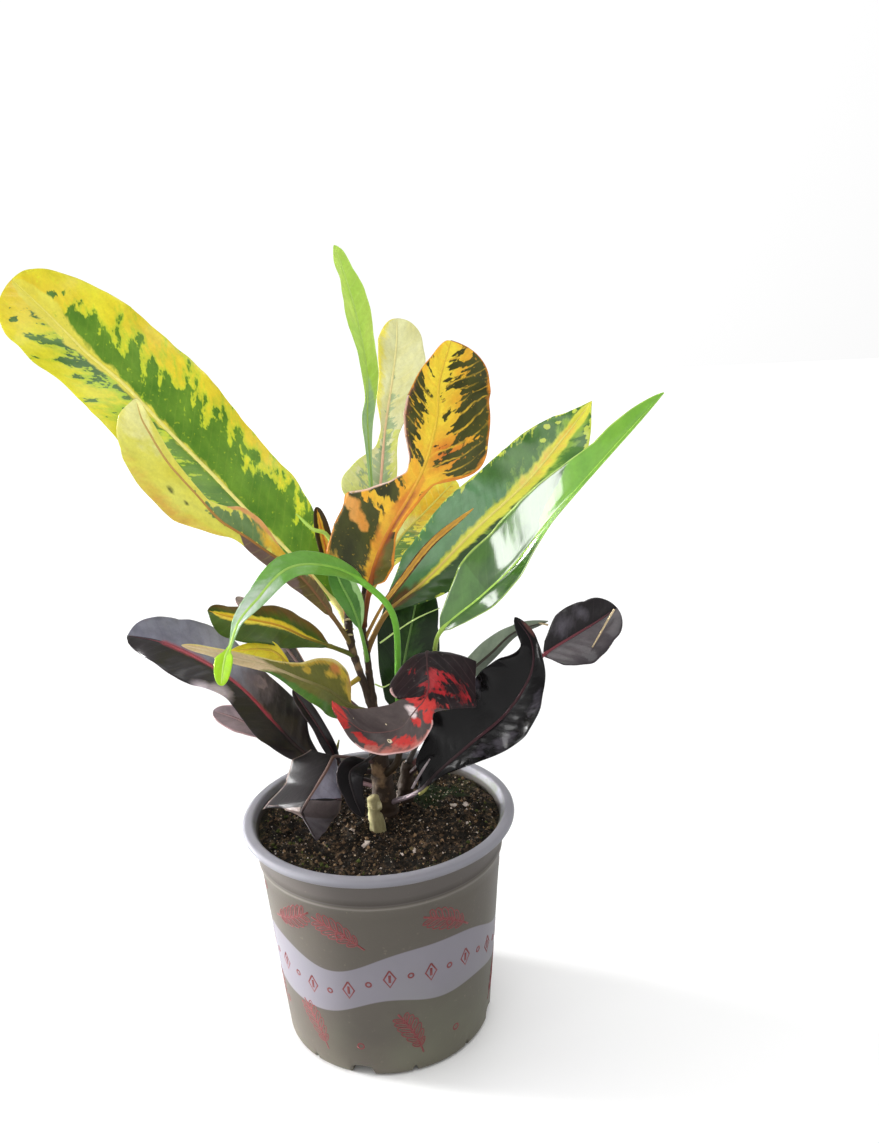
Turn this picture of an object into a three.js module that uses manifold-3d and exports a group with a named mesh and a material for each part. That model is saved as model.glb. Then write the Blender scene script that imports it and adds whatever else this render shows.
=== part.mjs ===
// A croton in a round nursery pot: a thin-walled pot with a rolled rim, a plug of potting soil,
// two rooted cuttings and a cut stub, and every leaf as its own waved blade on its own stalk.
// Millimetres, +Z up. The origin is the middle of the pot's underside, and -Y is the front.

import * as THREE from 'three';
import { mergeVertices } from 'three/addons/utils/BufferGeometryUtils.js';
import Module from 'manifold-3d';

const wasm = await Module();
wasm.setup();

// ---- driving dimensions ----

const GAP = 0.3;                    // clearance between pieces that touch on the real plant

const POT = {
  rimRadius: 60,                    // outside of the rolled rim
  mouthRadius: 55.3,                // inside of the rim
  rimTop: 102.3,
  rimHeight: 3.8,
  shoulderHeight: 90,               // faint moulded step below the rim
  shoulderStep: 1.2,
  wallTopRadius: 53.4,              // outside of the wall at the shoulder
  baseRadius: 46.6,
  baseCorner: 3,
  wall: 1.3,
  floor: 1.8,
  segments: 48,
  feet: 8,                          // notches round the underside leave as many feet
  notchWidth: 9,
  notchHeight: 1.1,
  drainWidth: 6,
  drainHeight: 2.4,
};

const SOIL = {
  top: 96.2,                        // mean level of the surface
  mound: 1.6,                       // rise towards the stems
  bump: 0.9,
  rings: 7,
  spokes: 32,
  grains: 18,
  grainRadius: [0.9, 1.7],
};

// rows of a blade lie closer together towards its tip, by the crowding factor
const BLADE = { thickness: 0.9, across: 4, step: 13, crowding: 1.35, tipWidth: 0.3 };
const STALK = { sides: 6, step: 9, radius: 1.1, endRadius: 0.6, overlap: 4 };
const STEM_SIDES = 10;

// ---- stems: x, y, z, radius from the root end to the tip ----

const STEMS = {
  main: [
    [3, 0, 72, 6.0], [2.5, 0, 105, 5.3], [1.5, 0, 125, 4.1], [0, 1, 152, 2.7],
    [-1, 2, 173, 1.9], [-2, 3, 188, 1.7], [0.5, 6, 205, 1.4], [3.5, 8, 220, 1.1],
  ],
  side: [[0, 1, 148, 2.0], [-4, 0, 164, 1.6], [-7, 0, 176, 1.7], [-8, 0, 186, 1.8], [-8, 1, 197, 1.1]],
  dark: [[11, 12, 76, 4.5], [12.5, 10, 104, 3.8], [14, 8, 118, 2.6]],
  stub: [[-1, -12, 82, 4.2], [-1.5, -12, 104, 3.7], [-2.5, -11, 113, 3.0]],
};

// ---- leaves ----
// stem, at: the stem and the height where the stalk leaves it
// rib: the midrib's points from there to the tip, left and right: the blade's half widths there
// face: where the upper side looks, one direction, or one for each point
// start: the point where the blade begins, blunt: 0.5 for a round tip, 1 for a sharp one
// keel, cup: how far the halves rise from the midrib, wave, waves: the margin's ripple

const YELLOW = 0xc8c03a;
const GREEN = 0x4c7a2a;
const LIME = 0x9ccc3c;
const DARK_GREEN = 0x35561f;
const ORANGE = 0xc0882a;
const PALE = 0xd8d890;
const TAN = 0xa89468;
const BLACK = 0x2c2628;
const RED = 0x6e3434;

const LEAVES = [
  {
    name: 'leaf_left_long', color: YELLOW, stem: 'side', at: 185,
    rib: [[-13, 8, 195], [-27, 16, 216], [-61, 33, 251], [-96, 46, 291], [-121, 52, 317], [-141, 52, 334]],
    left: [1.5, 11.5, 20.5, 24.5, 24, 0], right: [1.5, 12.5, 23, 24, 18, 0],
    face: [0.15, -0.85, 0.5], blunt: 0.5, keel: 0.15, wave: 1.6, waves: 4, stalk: 1.4,
  },
  {
    name: 'leaf_left_folded', color: YELLOW, stem: 'side', at: 179,
    rib: [
      [-14, -8, 194], [-26, -16, 215], [-43, -26, 233],
      [-58, -38, 254], [-71, -50, 278], [-73, -56, 290],
    ],
    left: [1, 6, 6.5, 14, 12, 0], right: [1, 5, 10, 7.5, 5, 0],
    face: [0.1, -0.85, 0.4], blunt: 0.5, keel: 0.25, wave: 1, waves: 3,
  },
  {
    name: 'leaf_orange_twisted', color: ORANGE, stem: 'main', at: 186,
    rib: [
      [2, -3, 205], [5, -9, 217], [11, -15, 231], [20, -20, 246],
      [26, -23, 258], [31, -22, 274], [35, -18, 288], [43, -14, 301],
    ],
    left: [1.5, 19.5, 22, 9.5, 6.5, 12.5, 11.5, 0], right: [1, 3, 3.5, 5.5, 14.5, 19.5, 18, 0],
    face: [
      [0, -1, 0.2], [-0.1, -1, 0.2], [-0.1, -1, 0.1], [-0.2, -1, 0.1],
      [0.1, -1, 0.2], [0.1, -1, 0.2], [0.1, -1, 0.1], [0.1, -1, 0.1],
    ],
    blunt: 0.5, wave: 1.2, waves: 3, stalk: 1.3,
  },
  {
    name: 'leaf_top_lime', color: LIME, stem: 'main', at: 220,
    rib: [[5, 12, 238], [5, 16, 269], [6, 18, 291], [3, 20, 314], [-1, 20, 331], [-4, 18, 341]],
    left: [1, 4.5, 4.5, 7.5, 5, 0], right: [1, 4.5, 5.5, 7, 4.5, 0],
    face: [0.7, -0.7, 0.1], blunt: 0.7, keel: 0.3, wave: 0.6, waves: 3, stalk: 0.9,
  },
  {
    name: 'leaf_top_pale', color: PALE, stem: 'main', at: 206,
    rib: [[6, 17, 224], [10, 29, 246], [13, 41, 264], [18, 54, 285], [21, 63, 300], [22, 67, 311]],
    left: [1.5, 14.5, 7, 6, 8.5, 0], right: [1.5, 11, 8, 13.5, 12, 0],
    face: [0, -1, 0.2], blunt: 0.45, keel: 0.1, wave: 1, waves: 3,
  },
  {
    name: 'leaf_right_banded', color: GREEN, stem: 'main', at: 175,
    rib: [[9, 13, 188], [28, 22, 200], [51, 36, 217], [78, 52, 235], [98, 64, 253], [113, 70, 269]],
    left: [1.5, 16, 19.5, 20, 13, 0], right: [1.5, 11, 17.5, 18, 13, 0],
    face: [-0.2, -0.8, 0.6], blunt: 0.7, keel: 0.1, wave: 1, waves: 3, stalk: 1.3,
  },
  {
    name: 'leaf_right_glossy', color: GREEN, stem: 'main', at: 136,
    rib: [
      [15, -3, 150], [26, -4, 168], [30, -9, 185], [47, -17, 202],
      [59, -25, 216], [72, -35, 236], [91, -46, 261], [110, -52, 283],
    ],
    left: [0, 0, 2, 14.5, 16, 13.5, 6.5, 0], right: [0, 0, 2, 9, 10, 4.5, 3, 0],
    face: [-0.3, -0.8, 0.5], start: 3, blunt: 0.8, keel: 0.15, wave: 0.8, waves: 3, stalk: 1.5,
  },
  {
    name: 'leaf_orange_quill', color: ORANGE, stem: 'main', at: 180,
    rib: [[6, 0, 194], [15, -1, 207], [28, -1, 222], [46, 1, 235]],
    left: [1, 1.5, 1.5, 0], right: [1, 1.5, 1.5, 0],
    face: [-0.3, -0.8, 0.5], blunt: 0.8, stalk: 0.8,
  },
  {
    name: 'leaf_back_yellow', color: YELLOW, stem: 'main', at: 195,
    rib: [[6, 19, 202], [17, 42, 214], [31, 62, 222], [47, 78, 233]],
    left: [1.5, 9, 9.5, 0], right: [1.5, 9, 9.5, 0],
    face: [-0.2, -0.9, 0.3], blunt: 0.5, wave: 1, waves: 2,
  },
  {
    name: 'leaf_upright_dark', color: DARK_GREEN, stem: 'side', at: 191,
    rib: [[-13, 3, 207], [-16, 4, 224], [-18, 4, 238]],
    left: [1.5, 3, 0], right: [1.5, 3.5, 0],
    face: [0.2, -1, 0.2], blunt: 0.5, keel: 0.2, stalk: 0.8,
  },
  {
    name: 'leaf_thread_lime', color: LIME, stem: 'side', at: 197,
    rib: [[-9, 3, 209], [-14, 1, 226], [-20, -1, 230], [-26, -3, 237]],
    left: [0.7, 0.7, 0.6, 0], right: [0.7, 0.7, 0.6, 0],
    face: [0, -1, 0.2], blunt: 0.8, stalk: 0.6,
  },
  {
    name: 'leaf_interrupted', color: LIME, stem: 'main', at: 116,
    rib: [
      [10, -8, 130], [11, -9, 160], [11, -13, 193], [0, -18, 210], [-13, -26, 220],
      [-28, -36, 223], [-39, -46, 214], [-49, -55, 200], [-52, -58, 196], [-54, -60, 187],
    ],
    left: [0, 0, 0, 1.5, 5, 5.5, 6, 1, 3.5, 0], right: [0, 0, 0, 1.5, 5, 6, 4.5, 1, 3.5, 0],
    face: [
      [0.2, -0.8, 0.6], [0.2, -0.8, 0.6], [0.2, -0.8, 0.6], [0.1, -0.8, 0.6], [0, -0.7, 0.8],
      [-0.2, -0.8, 0.7], [-0.4, -0.8, 0.5], [-0.6, -0.8, 0.3], [-0.4, -0.9, 0.2], [-0.2, -1, 0.1],
    ],
    start: 4, blunt: 0.5, keel: 0.15, stalk: 1.5,
  },
  {
    name: 'leaf_small_green', color: GREEN, stem: 'main', at: 170,
    rib: [[-3, -4, 186], [-6, -6, 198], [-10, -7, 208], [-12, -7, 215]],
    left: [1, 4, 4.5, 0], right: [1, 5, 5, 0],
    face: [0.2, -1, 0.2], blunt: 0.5, keel: 0.2, stalk: 0.9,
  },
  {
    name: 'leaf_small_banded', color: DARK_GREEN, stem: 'side', at: 174,
    rib: [[-16, -4, 180], [-25, -7, 185], [-35, -13, 193], [-44, -19, 198], [-54, -24, 202], [-61, -28, 206]],
    left: [1.5, 4.5, 10, 12, 10.5, 0], right: [1.5, 7.5, 8.5, 6, 4.5, 0],
    face: [0.1, -0.7, 0.8], blunt: 0.5, keel: 0.1, wave: 0.6, waves: 2,
  },
  {
    name: 'leaf_curled_tan', color: TAN, stem: 'main', at: 147,
    rib: [
      [-9, -12, 156], [-18, -20, 167], [-28, -29, 176], [-38, -38, 185],
      [-49, -46, 192], [-59, -52, 198], [-67, -56, 202],
    ],
    left: [1.5, 7, 4.5, 2.5, 2.5, 1.5, 0], right: [2, 13, 6.5, 2.5, 2.5, 1.5, 0],
    face: [0.1, -0.8, 0.6], blunt: 0.7, wave: 0.5, waves: 2,
  },
  {
    name: 'leaf_small_yellow', color: YELLOW, stem: 'side', at: 164,
    rib: [[-22, -10, 158], [-31, -21, 171], [-36, -27, 182], [-42, -31, 186], [-53, -34, 187]],
    left: [0, 1.5, 2.5, 2.5, 0], right: [0, 1.5, 4, 3.5, 0],
    face: [0.1, -0.8, 0.6], start: 2, blunt: 0.6, stalk: 0.9,
  },
  {
    name: 'leaf_back_green', color: DARK_GREEN, stem: 'main', at: 129,
    rib: [[10, 9, 143], [15, 16, 163], [20, 25, 179], [25, 34, 195]],
    left: [4.5, 11.5, 14, 0], right: [6, 14, 11.5, 0],
    face: [0, -1, 0.2], blunt: 0.5, keel: 0.1, wave: 0.8, waves: 2,
  },
  {
    name: 'leaf_dark_left', color: BLACK, stem: 'main', at: 119,
    rib: [
      [-18, 0, 122], [-32, 4, 130], [-43, 8, 142], [-57, 15, 157],
      [-72, 22, 167], [-91, 30, 175], [-108, 36, 178],
    ],
    left: [0, 5.5, 11, 8, 12.5, 15.5, 0], right: [0, 6.5, 14, 12, 16, 13, 0],
    face: [0.2, -0.7, 0.7], start: 1, blunt: 0.5, keel: 0.1, wave: 1, waves: 4, stalk: 1.2,
  },
  {
    name: 'leaf_dark_left_low', color: BLACK, stem: 'main', at: 107,
    rib: [[-26, 20, 110], [-50, 35, 121], [-63, 43, 129], [-76, 50, 133]],
    left: [1.5, 4.5, 5, 0], right: [1.5, 4.5, 4.5, 0],
    face: [0.1, -0.8, 0.6], blunt: 0.5, keel: 0.1,
  },
  {
    name: 'leaf_dark_slender', color: BLACK, stem: 'main', at: 113,
    rib: [[-13, 8, 119], [-17, 9, 128], [-22, 9, 137], [-28, 9, 147]],
    left: [1, 3, 2.5, 0], right: [1, 3.5, 3.5, 0],
    face: [0.2, -0.9, 0.4], blunt: 0.6, keel: 0.2, stalk: 0.9,
  },
  {
    name: 'leaf_dark_crumpled', color: BLACK, stem: 'main', at: 123,
    rib: [[-11, -8, 128], [-19, -11, 129], [-25, -14, 123], [-29, -16, 115], [-28, -18, 106], [-27, -19, 99]],
    left: [3, 9.5, 11, 11.5, 6, 0], right: [3, 8.5, 16, 20, 9.5, 0],
    face: [[0, -0.7, 0.8], [0, -0.7, 0.8], [0, -0.8, 0.7], [-0.1, -0.8, 0.6], [-0.1, -0.9, 0.5], [-0.1, -0.9, 0.5]],
    blunt: 0.6, keel: 0.25, wave: 1.5, waves: 3,
  },
  {
    name: 'leaf_dark_hanging', color: BLACK, stem: 'main', at: 129,
    rib: [[-4, -15, 132], [-11, -21, 130], [-10, -24, 121], [-7, -26, 112]],
    left: [1.5, 5, 4, 0], right: [1.5, 5.5, 4, 0],
    face: [[-0.2, -0.6, 0.8], [-0.3, -0.8, 0.5], [-0.3, -0.9, 0.3], [-0.3, -0.9, 0.2]],
    blunt: 0.7, keel: 0.2, stalk: 0.9,
  },
  {
    name: 'leaf_red_twisted', color: RED, stem: 'dark', at: 111,
    rib: [
      [22, -2, 126], [29, -10, 146], [32, -13, 163], [30, -18, 173], [27, -24, 168],
      [25, -28, 159], [19, -31, 154], [5, -32, 152], [-8, -31, 156], [-17, -29, 163],
    ],
    left: [0, 0, 12, 15, 17, 4, 8, 9, 8, 0], right: [0, 0, 12, 15, 17, 4, 7, 9.5, 7, 0],
    face: [
      [0, 0.6, 0.7], [0, 0.6, 0.7], [0, 0.9, 0.4], [0, 0, 1], [0.1, -0.9, 0.4],
      [0.1, -1, 0.2], [0, -1, 0.3], [0, -1, 0.3], [0, -0.9, 0.5], [0, -0.9, 0.5],
    ],
    start: 3, blunt: 0.6, stalk: 1.2,
  },
  {
    name: 'leaf_dark_cupped', color: BLACK, stem: 'main', at: 103,
    rib: [
      [17, -12, 114], [27, -13, 124], [40, -17, 137], [55, -22, 152],
      [65, -24, 169], [66, -22, 182], [60, -18, 192],
    ],
    left: [0, 4.5, 16, 17.5, 11.5, 4.5, 0], right: [0, 2.5, 8.5, 14, 6, 3.5, 0],
    face: [-0.2, -0.85, 0.5], start: 2, blunt: 0.7, cup: 0.2, wave: 0.8, waves: 3, stalk: 1.4,
  },
  {
    name: 'leaf_dark_oval', color: BLACK, stem: 'dark', at: 115,
    rib: [[44, 18, 135], [59, 24, 144], [81, 33, 156], [96, 39, 162], [110, 45, 167], [120, 48, 172]],
    left: [0, 0, 3, 11.5, 10.5, 0], right: [0, 0, 3, 10.5, 10, 0],
    face: [-0.1, -0.8, 0.6], start: 3, blunt: 0.5, keel: 0.1,
  },
  {
    name: 'leaf_dark_back', color: DARK_GREEN, stem: 'dark', at: 118,
    rib: [[26, 27, 130], [43, 40, 144], [58, 48, 153], [71, 54, 161], [89, 62, 163]],
    left: [0, 4, 6.5, 3.5, 0], right: [0, 3.5, 3, 2, 0],
    face: [-0.2, -0.9, 0.3], start: 2, blunt: 0.9,
  },
  {
    name: 'leaf_dark_behind', color: BLACK, stem: 'main', at: 142,
    rib: [[-16, 13, 154], [-28, 21, 159], [-38, 30, 170], [-48, 40, 180], [-60, 49, 189]],
    left: [0, 2, 4, 4, 0], right: [0, 2, 4, 4, 0],
    face: [0.1, -0.8, 0.6], start: 2, blunt: 0.5, stalk: 0.9,
  },
];

// ---- curves ----

// Catmull-Rom spline through rows of numbers, u from 0 to the last row's index.
function spline(rows, u) {
  const last = rows.length - 1;
  const i = Math.min(Math.floor(u), last - 1);
  const f = u - i;
  const p1 = rows[i];
  const p2 = rows[i + 1];
  const p0 = i > 0 ? rows[i - 1] : p1.map((value, k) => 2 * value - p2[k]);
  const p3 = i + 2 <= last ? rows[i + 2] : p2.map((value, k) => 2 * value - p1[k]);
  return p1.map((value, k) => 0.5 * (2 * value + (p2[k] - p0[k]) * f
    + (2 * p0[k] - 5 * value + 4 * p2[k] - p3[k]) * f * f
    + (3 * value - p0[k] - 3 * p2[k] + p3[k]) * f * f * f));
}

function vector(values) {
  return new THREE.Vector3(values[0], values[1], values[2]);
}

function pointAtHeight(stem, height) {
  const last = stem.length - 1;
  const steps = 400;
  let best = stem[0];
  for (let k = 0; k <= steps; k += 1) {
    const point = spline(stem, (k / steps) * last);
    if (Math.abs(point[2] - height) < Math.abs(best[2] - height)) {
      best = point;
    }
  }
  return best.slice(0, 3);
}

// ---- solids ----

function solid(geometry) {
  const bare = geometry.index ? geometry : mergeVertices(geometry);
  bare.deleteAttribute('normal');
  bare.deleteAttribute('uv');
  const merged = mergeVertices(bare);
  return new wasm.Manifold(new wasm.Mesh({
    numProp: 3,
    vertProperties: new Float32Array(merged.attributes.position.array),
    triVerts: new Uint32Array(merged.index.array),
  }));
}

function geometryOf(body) {
  const mesh = body.getMesh();
  const geometry = new THREE.BufferGeometry();
  geometry.setAttribute('position', new THREE.BufferAttribute(new Float32Array(mesh.vertProperties), 3));
  geometry.setIndex(Array.from(mesh.triVerts));
  geometry.computeVertexNormals();
  return geometry;
}

function largest(body) {
  const pieces = body.decompose();
  return pieces.reduce((best, piece) => (piece.volume() > best.volume() ? piece : best));
}

function indexed(points, triangles) {
  const geometry = new THREE.BufferGeometry();
  geometry.setAttribute('position', new THREE.Float32BufferAttribute(points, 3));
  geometry.setIndex(triangles);
  return geometry;
}

// A closed round bar through rows of x, y, z and radius, with flat ends.
function bar(rows, sides) {
  const points = [];
  const triangles = [];
  let across = null;
  for (let k = 0; k < rows.length; k += 1) {
    const here = vector(rows[k]);
    const before = vector(rows[Math.max(k - 1, 0)]);
    const after = vector(rows[Math.min(k + 1, rows.length - 1)]);
    const along = after.sub(before).normalize();
    const guide = across ?? new THREE.Vector3(1, 0, 0);
    across = guide.clone().addScaledVector(along, -guide.dot(along)).normalize();
    const up = new THREE.Vector3().crossVectors(along, across);
    for (let s = 0; s < sides; s += 1) {
      const angle = (2 * Math.PI * s) / sides;
      const corner = here.clone()
        .addScaledVector(across, rows[k][3] * Math.cos(angle))
        .addScaledVector(up, rows[k][3] * Math.sin(angle));
      points.push(corner.x, corner.y, corner.z);
    }
  }
  for (let k = 0; k + 1 < rows.length; k += 1) {
    for (let s = 0; s < sides; s += 1) {
      const a = k * sides + s;
      const b = k * sides + ((s + 1) % sides);
      triangles.push(a, b, b + sides, a, b + sides, a + sides);
    }
  }
  const end = (rows.length - 1) * sides;
  for (let s = 1; s + 1 < sides; s += 1) {
    triangles.push(0, s + 1, s, end, end + s, end + s + 1);
  }
  return solid(indexed(points, triangles));
}

function stemRows(stem, grow) {
  const rows = [];
  const steps = (stem.length - 1) * 2;
  for (let k = 0; k <= steps; k += 1) {
    const row = spline(stem, k / 2);
    row[3] += grow;
    rows.push(row);
  }
  const last = rows[rows.length - 1];
  const before = rows[rows.length - 2];
  const along = vector(last).sub(vector(before)).normalize().multiplyScalar(grow);
  last[0] += along.x;
  last[1] += along.y;
  last[2] += along.z;
  return rows;
}

function stemSolid(name, grow) {
  const trunk = bar(stemRows(STEMS[name], grow), STEM_SIDES);
  return name === 'main' ? trunk.add(bar(stemRows(STEMS.side, grow), STEM_SIDES)) : trunk;
}

// ---- pot ----

function wallRadius(height) {
  const share = (height - POT.baseCorner) / (POT.shoulderHeight - POT.baseCorner);
  return POT.baseRadius + (POT.wallTopRadius - POT.baseRadius) * share;
}

function innerRadius(height) {
  const collar = POT.wallTopRadius + POT.shoulderStep - POT.wall;
  return height < POT.shoulderHeight ? wallRadius(height) - POT.wall : collar;
}

function potProfile() {
  const collar = POT.wallTopRadius + POT.shoulderStep;
  const rimBottom = POT.rimTop - POT.rimHeight;
  const corner = POT.baseCorner;
  const points = [[0, 0], [POT.baseRadius - corner, 0]];
  for (const angle of [30, 60]) {
    const turn = THREE.MathUtils.degToRad(angle);
    points.push([POT.baseRadius - corner + corner * Math.sin(turn), corner - corner * Math.cos(turn)]);
  }
  points.push(
    [POT.baseRadius, corner],
    [POT.wallTopRadius, POT.shoulderHeight],
    [collar, POT.shoulderHeight + POT.shoulderStep],
    [collar + 0.4, rimBottom],
    [POT.rimRadius - 0.6, rimBottom],
    [POT.rimRadius, rimBottom + 1.2],
    [POT.rimRadius - 0.5, POT.rimTop - 0.3],
    [POT.rimRadius - 1.4, POT.rimTop],
    [POT.mouthRadius + 0.5, POT.rimTop],
    [POT.mouthRadius - 0.4, POT.rimTop - 1],
    [collar - POT.wall, rimBottom],
    [collar - POT.wall, POT.shoulderHeight + POT.shoulderStep],
    [POT.wallTopRadius - POT.wall, POT.shoulderHeight],
    [POT.baseRadius - POT.wall, corner + 0.6],
    [POT.baseRadius - POT.wall - 1.4, POT.floor],
    [0, POT.floor],
  );
  return points.map(([x, y]) => new THREE.Vector2(x, y));
}

function potSolid() {
  const lathe = new THREE.LatheGeometry(potProfile(), POT.segments);
  lathe.rotateX(Math.PI / 2);
  let pot = solid(lathe);
  for (let k = 0; k < POT.feet; k += 1) {
    const turn = ((k + 0.5) / POT.feet) * 2 * Math.PI;
    const notch = new THREE.BoxGeometry(12, POT.notchWidth, 2 * POT.notchHeight);
    notch.translate(POT.baseRadius - 3, 0, 0);
    notch.rotateZ(turn);
    const drain = new THREE.BoxGeometry(10, POT.drainWidth, POT.drainHeight);
    drain.translate(POT.baseRadius - 1, 0, POT.baseCorner + POT.drainHeight / 2);
    drain.rotateZ(turn + Math.PI / POT.feet);
    pot = pot.subtract(solid(notch)).subtract(solid(drain));
  }
  return pot;
}

// ---- soil ----

function seeded(seed) {
  let state = seed;
  return () => {
    state = (state * 1664525 + 1013904223) % 4294967296;
    return state / 4294967296;
  };
}

function soilHeight(x, y) {
  const mound = SOIL.mound * Math.exp(-(x * x + y * y) / 900);
  const bumps = Math.sin(x * 0.31 + 1.1) * Math.cos(y * 0.27) + 0.6 * Math.sin(x * 0.13 - y * 0.19 + 2);
  return SOIL.top + mound + SOIL.bump * 0.6 * bumps;
}

function soilPlug() {
  const { rings, spokes } = SOIL;
  const sideHeights = [SOIL.top - 2, POT.shoulderHeight + POT.shoulderStep, POT.shoulderHeight - 0.1, POT.floor + 2];
  const points = [0, 0, soilHeight(0, 0)];
  const triangles = [];
  const ring = (radius, height) => {
    for (let s = 0; s < spokes; s += 1) {
      const angle = (2 * Math.PI * s) / spokes;
      const x = radius * Math.cos(angle);
      const y = radius * Math.sin(angle);
      points.push(x, y, height ?? soilHeight(x, y));
    }
  };
  // the polygon's flats stay inside the round wall, whose own flats lie a little further in
  const fit = (height) => (innerRadius(height) - GAP) * Math.cos(Math.PI / POT.segments);
  const outer = fit(SOIL.top);
  for (let k = 1; k <= rings; k += 1) {
    ring((outer * k) / rings);
  }
  for (const height of sideHeights) {
    ring(fit(height), height);
  }
  const floorRadius = fit(POT.floor + 2) - 1.8;
  ring(floorRadius, POT.floor + GAP);
  const total = rings + sideHeights.length + 1;
  for (let s = 0; s < spokes; s += 1) {
    triangles.push(0, 1 + s, 1 + ((s + 1) % spokes));
  }
  for (let k = 0; k + 1 < total; k += 1) {
    for (let s = 0; s < spokes; s += 1) {
      const a = 1 + k * spokes + s;
      const b = 1 + k * spokes + ((s + 1) % spokes);
      triangles.push(a, a + spokes, b + spokes, a, b + spokes, b);
    }
  }
  const centre = points.length / 3;
  points.push(0, 0, POT.floor + GAP);
  const lastRing = 1 + (total - 1) * spokes;
  for (let s = 0; s < spokes; s += 1) {
    triangles.push(centre, lastRing + ((s + 1) % spokes), lastRing + s);
  }
  return solid(indexed(points, triangles));
}

// Pale grains of perlite and coarse crumbs, fused to the surface by a seeded rule.
function soilGrain(random) {
  const angle = random() * 2 * Math.PI;
  const distance = 17 + random() * 31;
  const radius = SOIL.grainRadius[0] + random() * (SOIL.grainRadius[1] - SOIL.grainRadius[0]);
  const grain = new THREE.IcosahedronGeometry(radius, 0);
  const x = distance * Math.cos(angle);
  const y = distance * Math.sin(angle);
  grain.rotateZ(random() * 3);
  grain.translate(x, y, soilHeight(x, y) + radius * 0.25);
  return solid(grain);
}

function soilSolid() {
  const random = seeded(7);
  let soil = soilPlug();
  for (let k = 0; k < SOIL.grains; k += 1) {
    soil = soil.add(soilGrain(random));
  }
  for (const name of ['main', 'dark', 'stub']) {
    soil = soil.subtract(stemSolid(name, GAP));
  }
  return soil;
}

// ---- leaves ----

function halfWidth(widths, u, blunt) {
  const last = widths.length - 1;
  if (u > last - 1) {
    const f = u - (last - 1);
    return widths[last - 1] * Math.max(1 - f * f, 0) ** blunt;
  }
  return spline(widths.map((width) => [width]), u)[0];
}

function leafShape(leaf) {
  const count = leaf.rib.length;
  const oneFace = typeof leaf.face[0] === 'number';
  const faces = oneFace ? Array(count).fill(leaf.face) : leaf.face;
  return {
    rib: [pointAtHeight(STEMS[leaf.stem], leaf.at), ...leaf.rib],
    left: [0, ...leaf.left],
    right: [0, ...leaf.right],
    face: [faces[0], ...faces],
    start: leaf.start ?? 1,
    last: count,
  };
}

function ribLength(shape, from, to) {
  let length = 0;
  const steps = 60;
  for (let k = 0; k < steps; k += 1) {
    const a = vector(spline(shape.rib, from + ((to - from) * k) / steps));
    const b = vector(spline(shape.rib, from + ((to - from) * (k + 1)) / steps));
    length += a.distanceTo(b);
  }
  return length;
}

function bladeSolid(leaf, shape) {
  const columns = BLADE.across + 1;
  const steps = Math.round(ribLength(shape, shape.start, shape.last) / BLADE.step);
  const rows = Math.max(6, steps, Math.ceil(1.5 * (shape.last - shape.start))) + 1;
  const middle = [];
  for (let k = 0; k < rows; k += 1) {
    const even = k / (rows - 1);
    const part = even * (BLADE.crowding - (BLADE.crowding - 1) * even);
    const u = shape.start + (shape.last - shape.start) * part;
    const here = vector(spline(shape.rib, u));
    const nudge = 0.01;
    const before = vector(spline(shape.rib, Math.max(u - nudge, 0)));
    const after = vector(spline(shape.rib, Math.min(u + nudge, shape.last)));
    const along = after.sub(before).normalize();
    const across = new THREE.Vector3().crossVectors(along, vector(spline(shape.face, u))).normalize();
    const normal = new THREE.Vector3().crossVectors(across, along);
    for (let c = 0; c < columns; c += 1) {
      const t = (2 * c) / BLADE.across - 1;
      const widths = t < 0 ? shape.left : shape.right;
      const width = Math.max(halfWidth(widths, u, leaf.blunt), BLADE.tipWidth);
      const ripple = Math.sin(2 * Math.PI * (leaf.waves ?? 0) * part + (t > 0 ? 1.3 : 0));
      const rise = (leaf.keel ?? 0) * width * Math.abs(t) + (leaf.cup ?? 0) * width * t * t
        + (leaf.wave ?? 0) * ripple * t * t * Math.min(1, width / 6);
      middle.push(here.clone().addScaledVector(across, width * t).addScaledVector(normal, rise));
    }
  }
  const cell = (k, c) => middle[k * columns + c];
  const points = [];
  const outward = [];
  for (let k = 0; k < rows; k += 1) {
    for (let c = 0; c < columns; c += 1) {
      const along = cell(Math.min(k + 1, rows - 1), c).clone().sub(cell(Math.max(k - 1, 0), c));
      const across = cell(k, Math.min(c + 1, columns - 1)).clone().sub(cell(k, Math.max(c - 1, 0)));
      outward.push(across.cross(along).normalize());
    }
  }
  for (const side of [0.5, -0.5]) {
    middle.forEach((point, k) => {
      const moved = point.clone().addScaledVector(outward[k], side * BLADE.thickness);
      points.push(moved.x, moved.y, moved.z);
    });
  }
  const under = rows * columns;
  const triangles = [];
  const quad = (a, b, c, d) => triangles.push(a, b, c, a, c, d);
  for (let k = 0; k + 1 < rows; k += 1) {
    for (let c = 0; c + 1 < columns; c += 1) {
      const a = k * columns + c;
      const d = a + columns;
      quad(a, a + 1, d + 1, d);
      triangles.push(under + a, under + d + 1, under + a + 1, under + a, under + d, under + d + 1);
    }
    const a = k * columns;
    const b = a + columns - 1;
    quad(a, a + columns, under + a + columns, under + a);
    quad(b, under + b, under + b + columns, b + columns);
  }
  for (let c = 0; c + 1 < columns; c += 1) {
    const tip = (rows - 1) * columns + c;
    quad(c, under + c, under + c + 1, c + 1);
    quad(tip, tip + 1, under + tip + 1, under + tip);
  }
  return solid(indexed(points, triangles));
}

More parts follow.
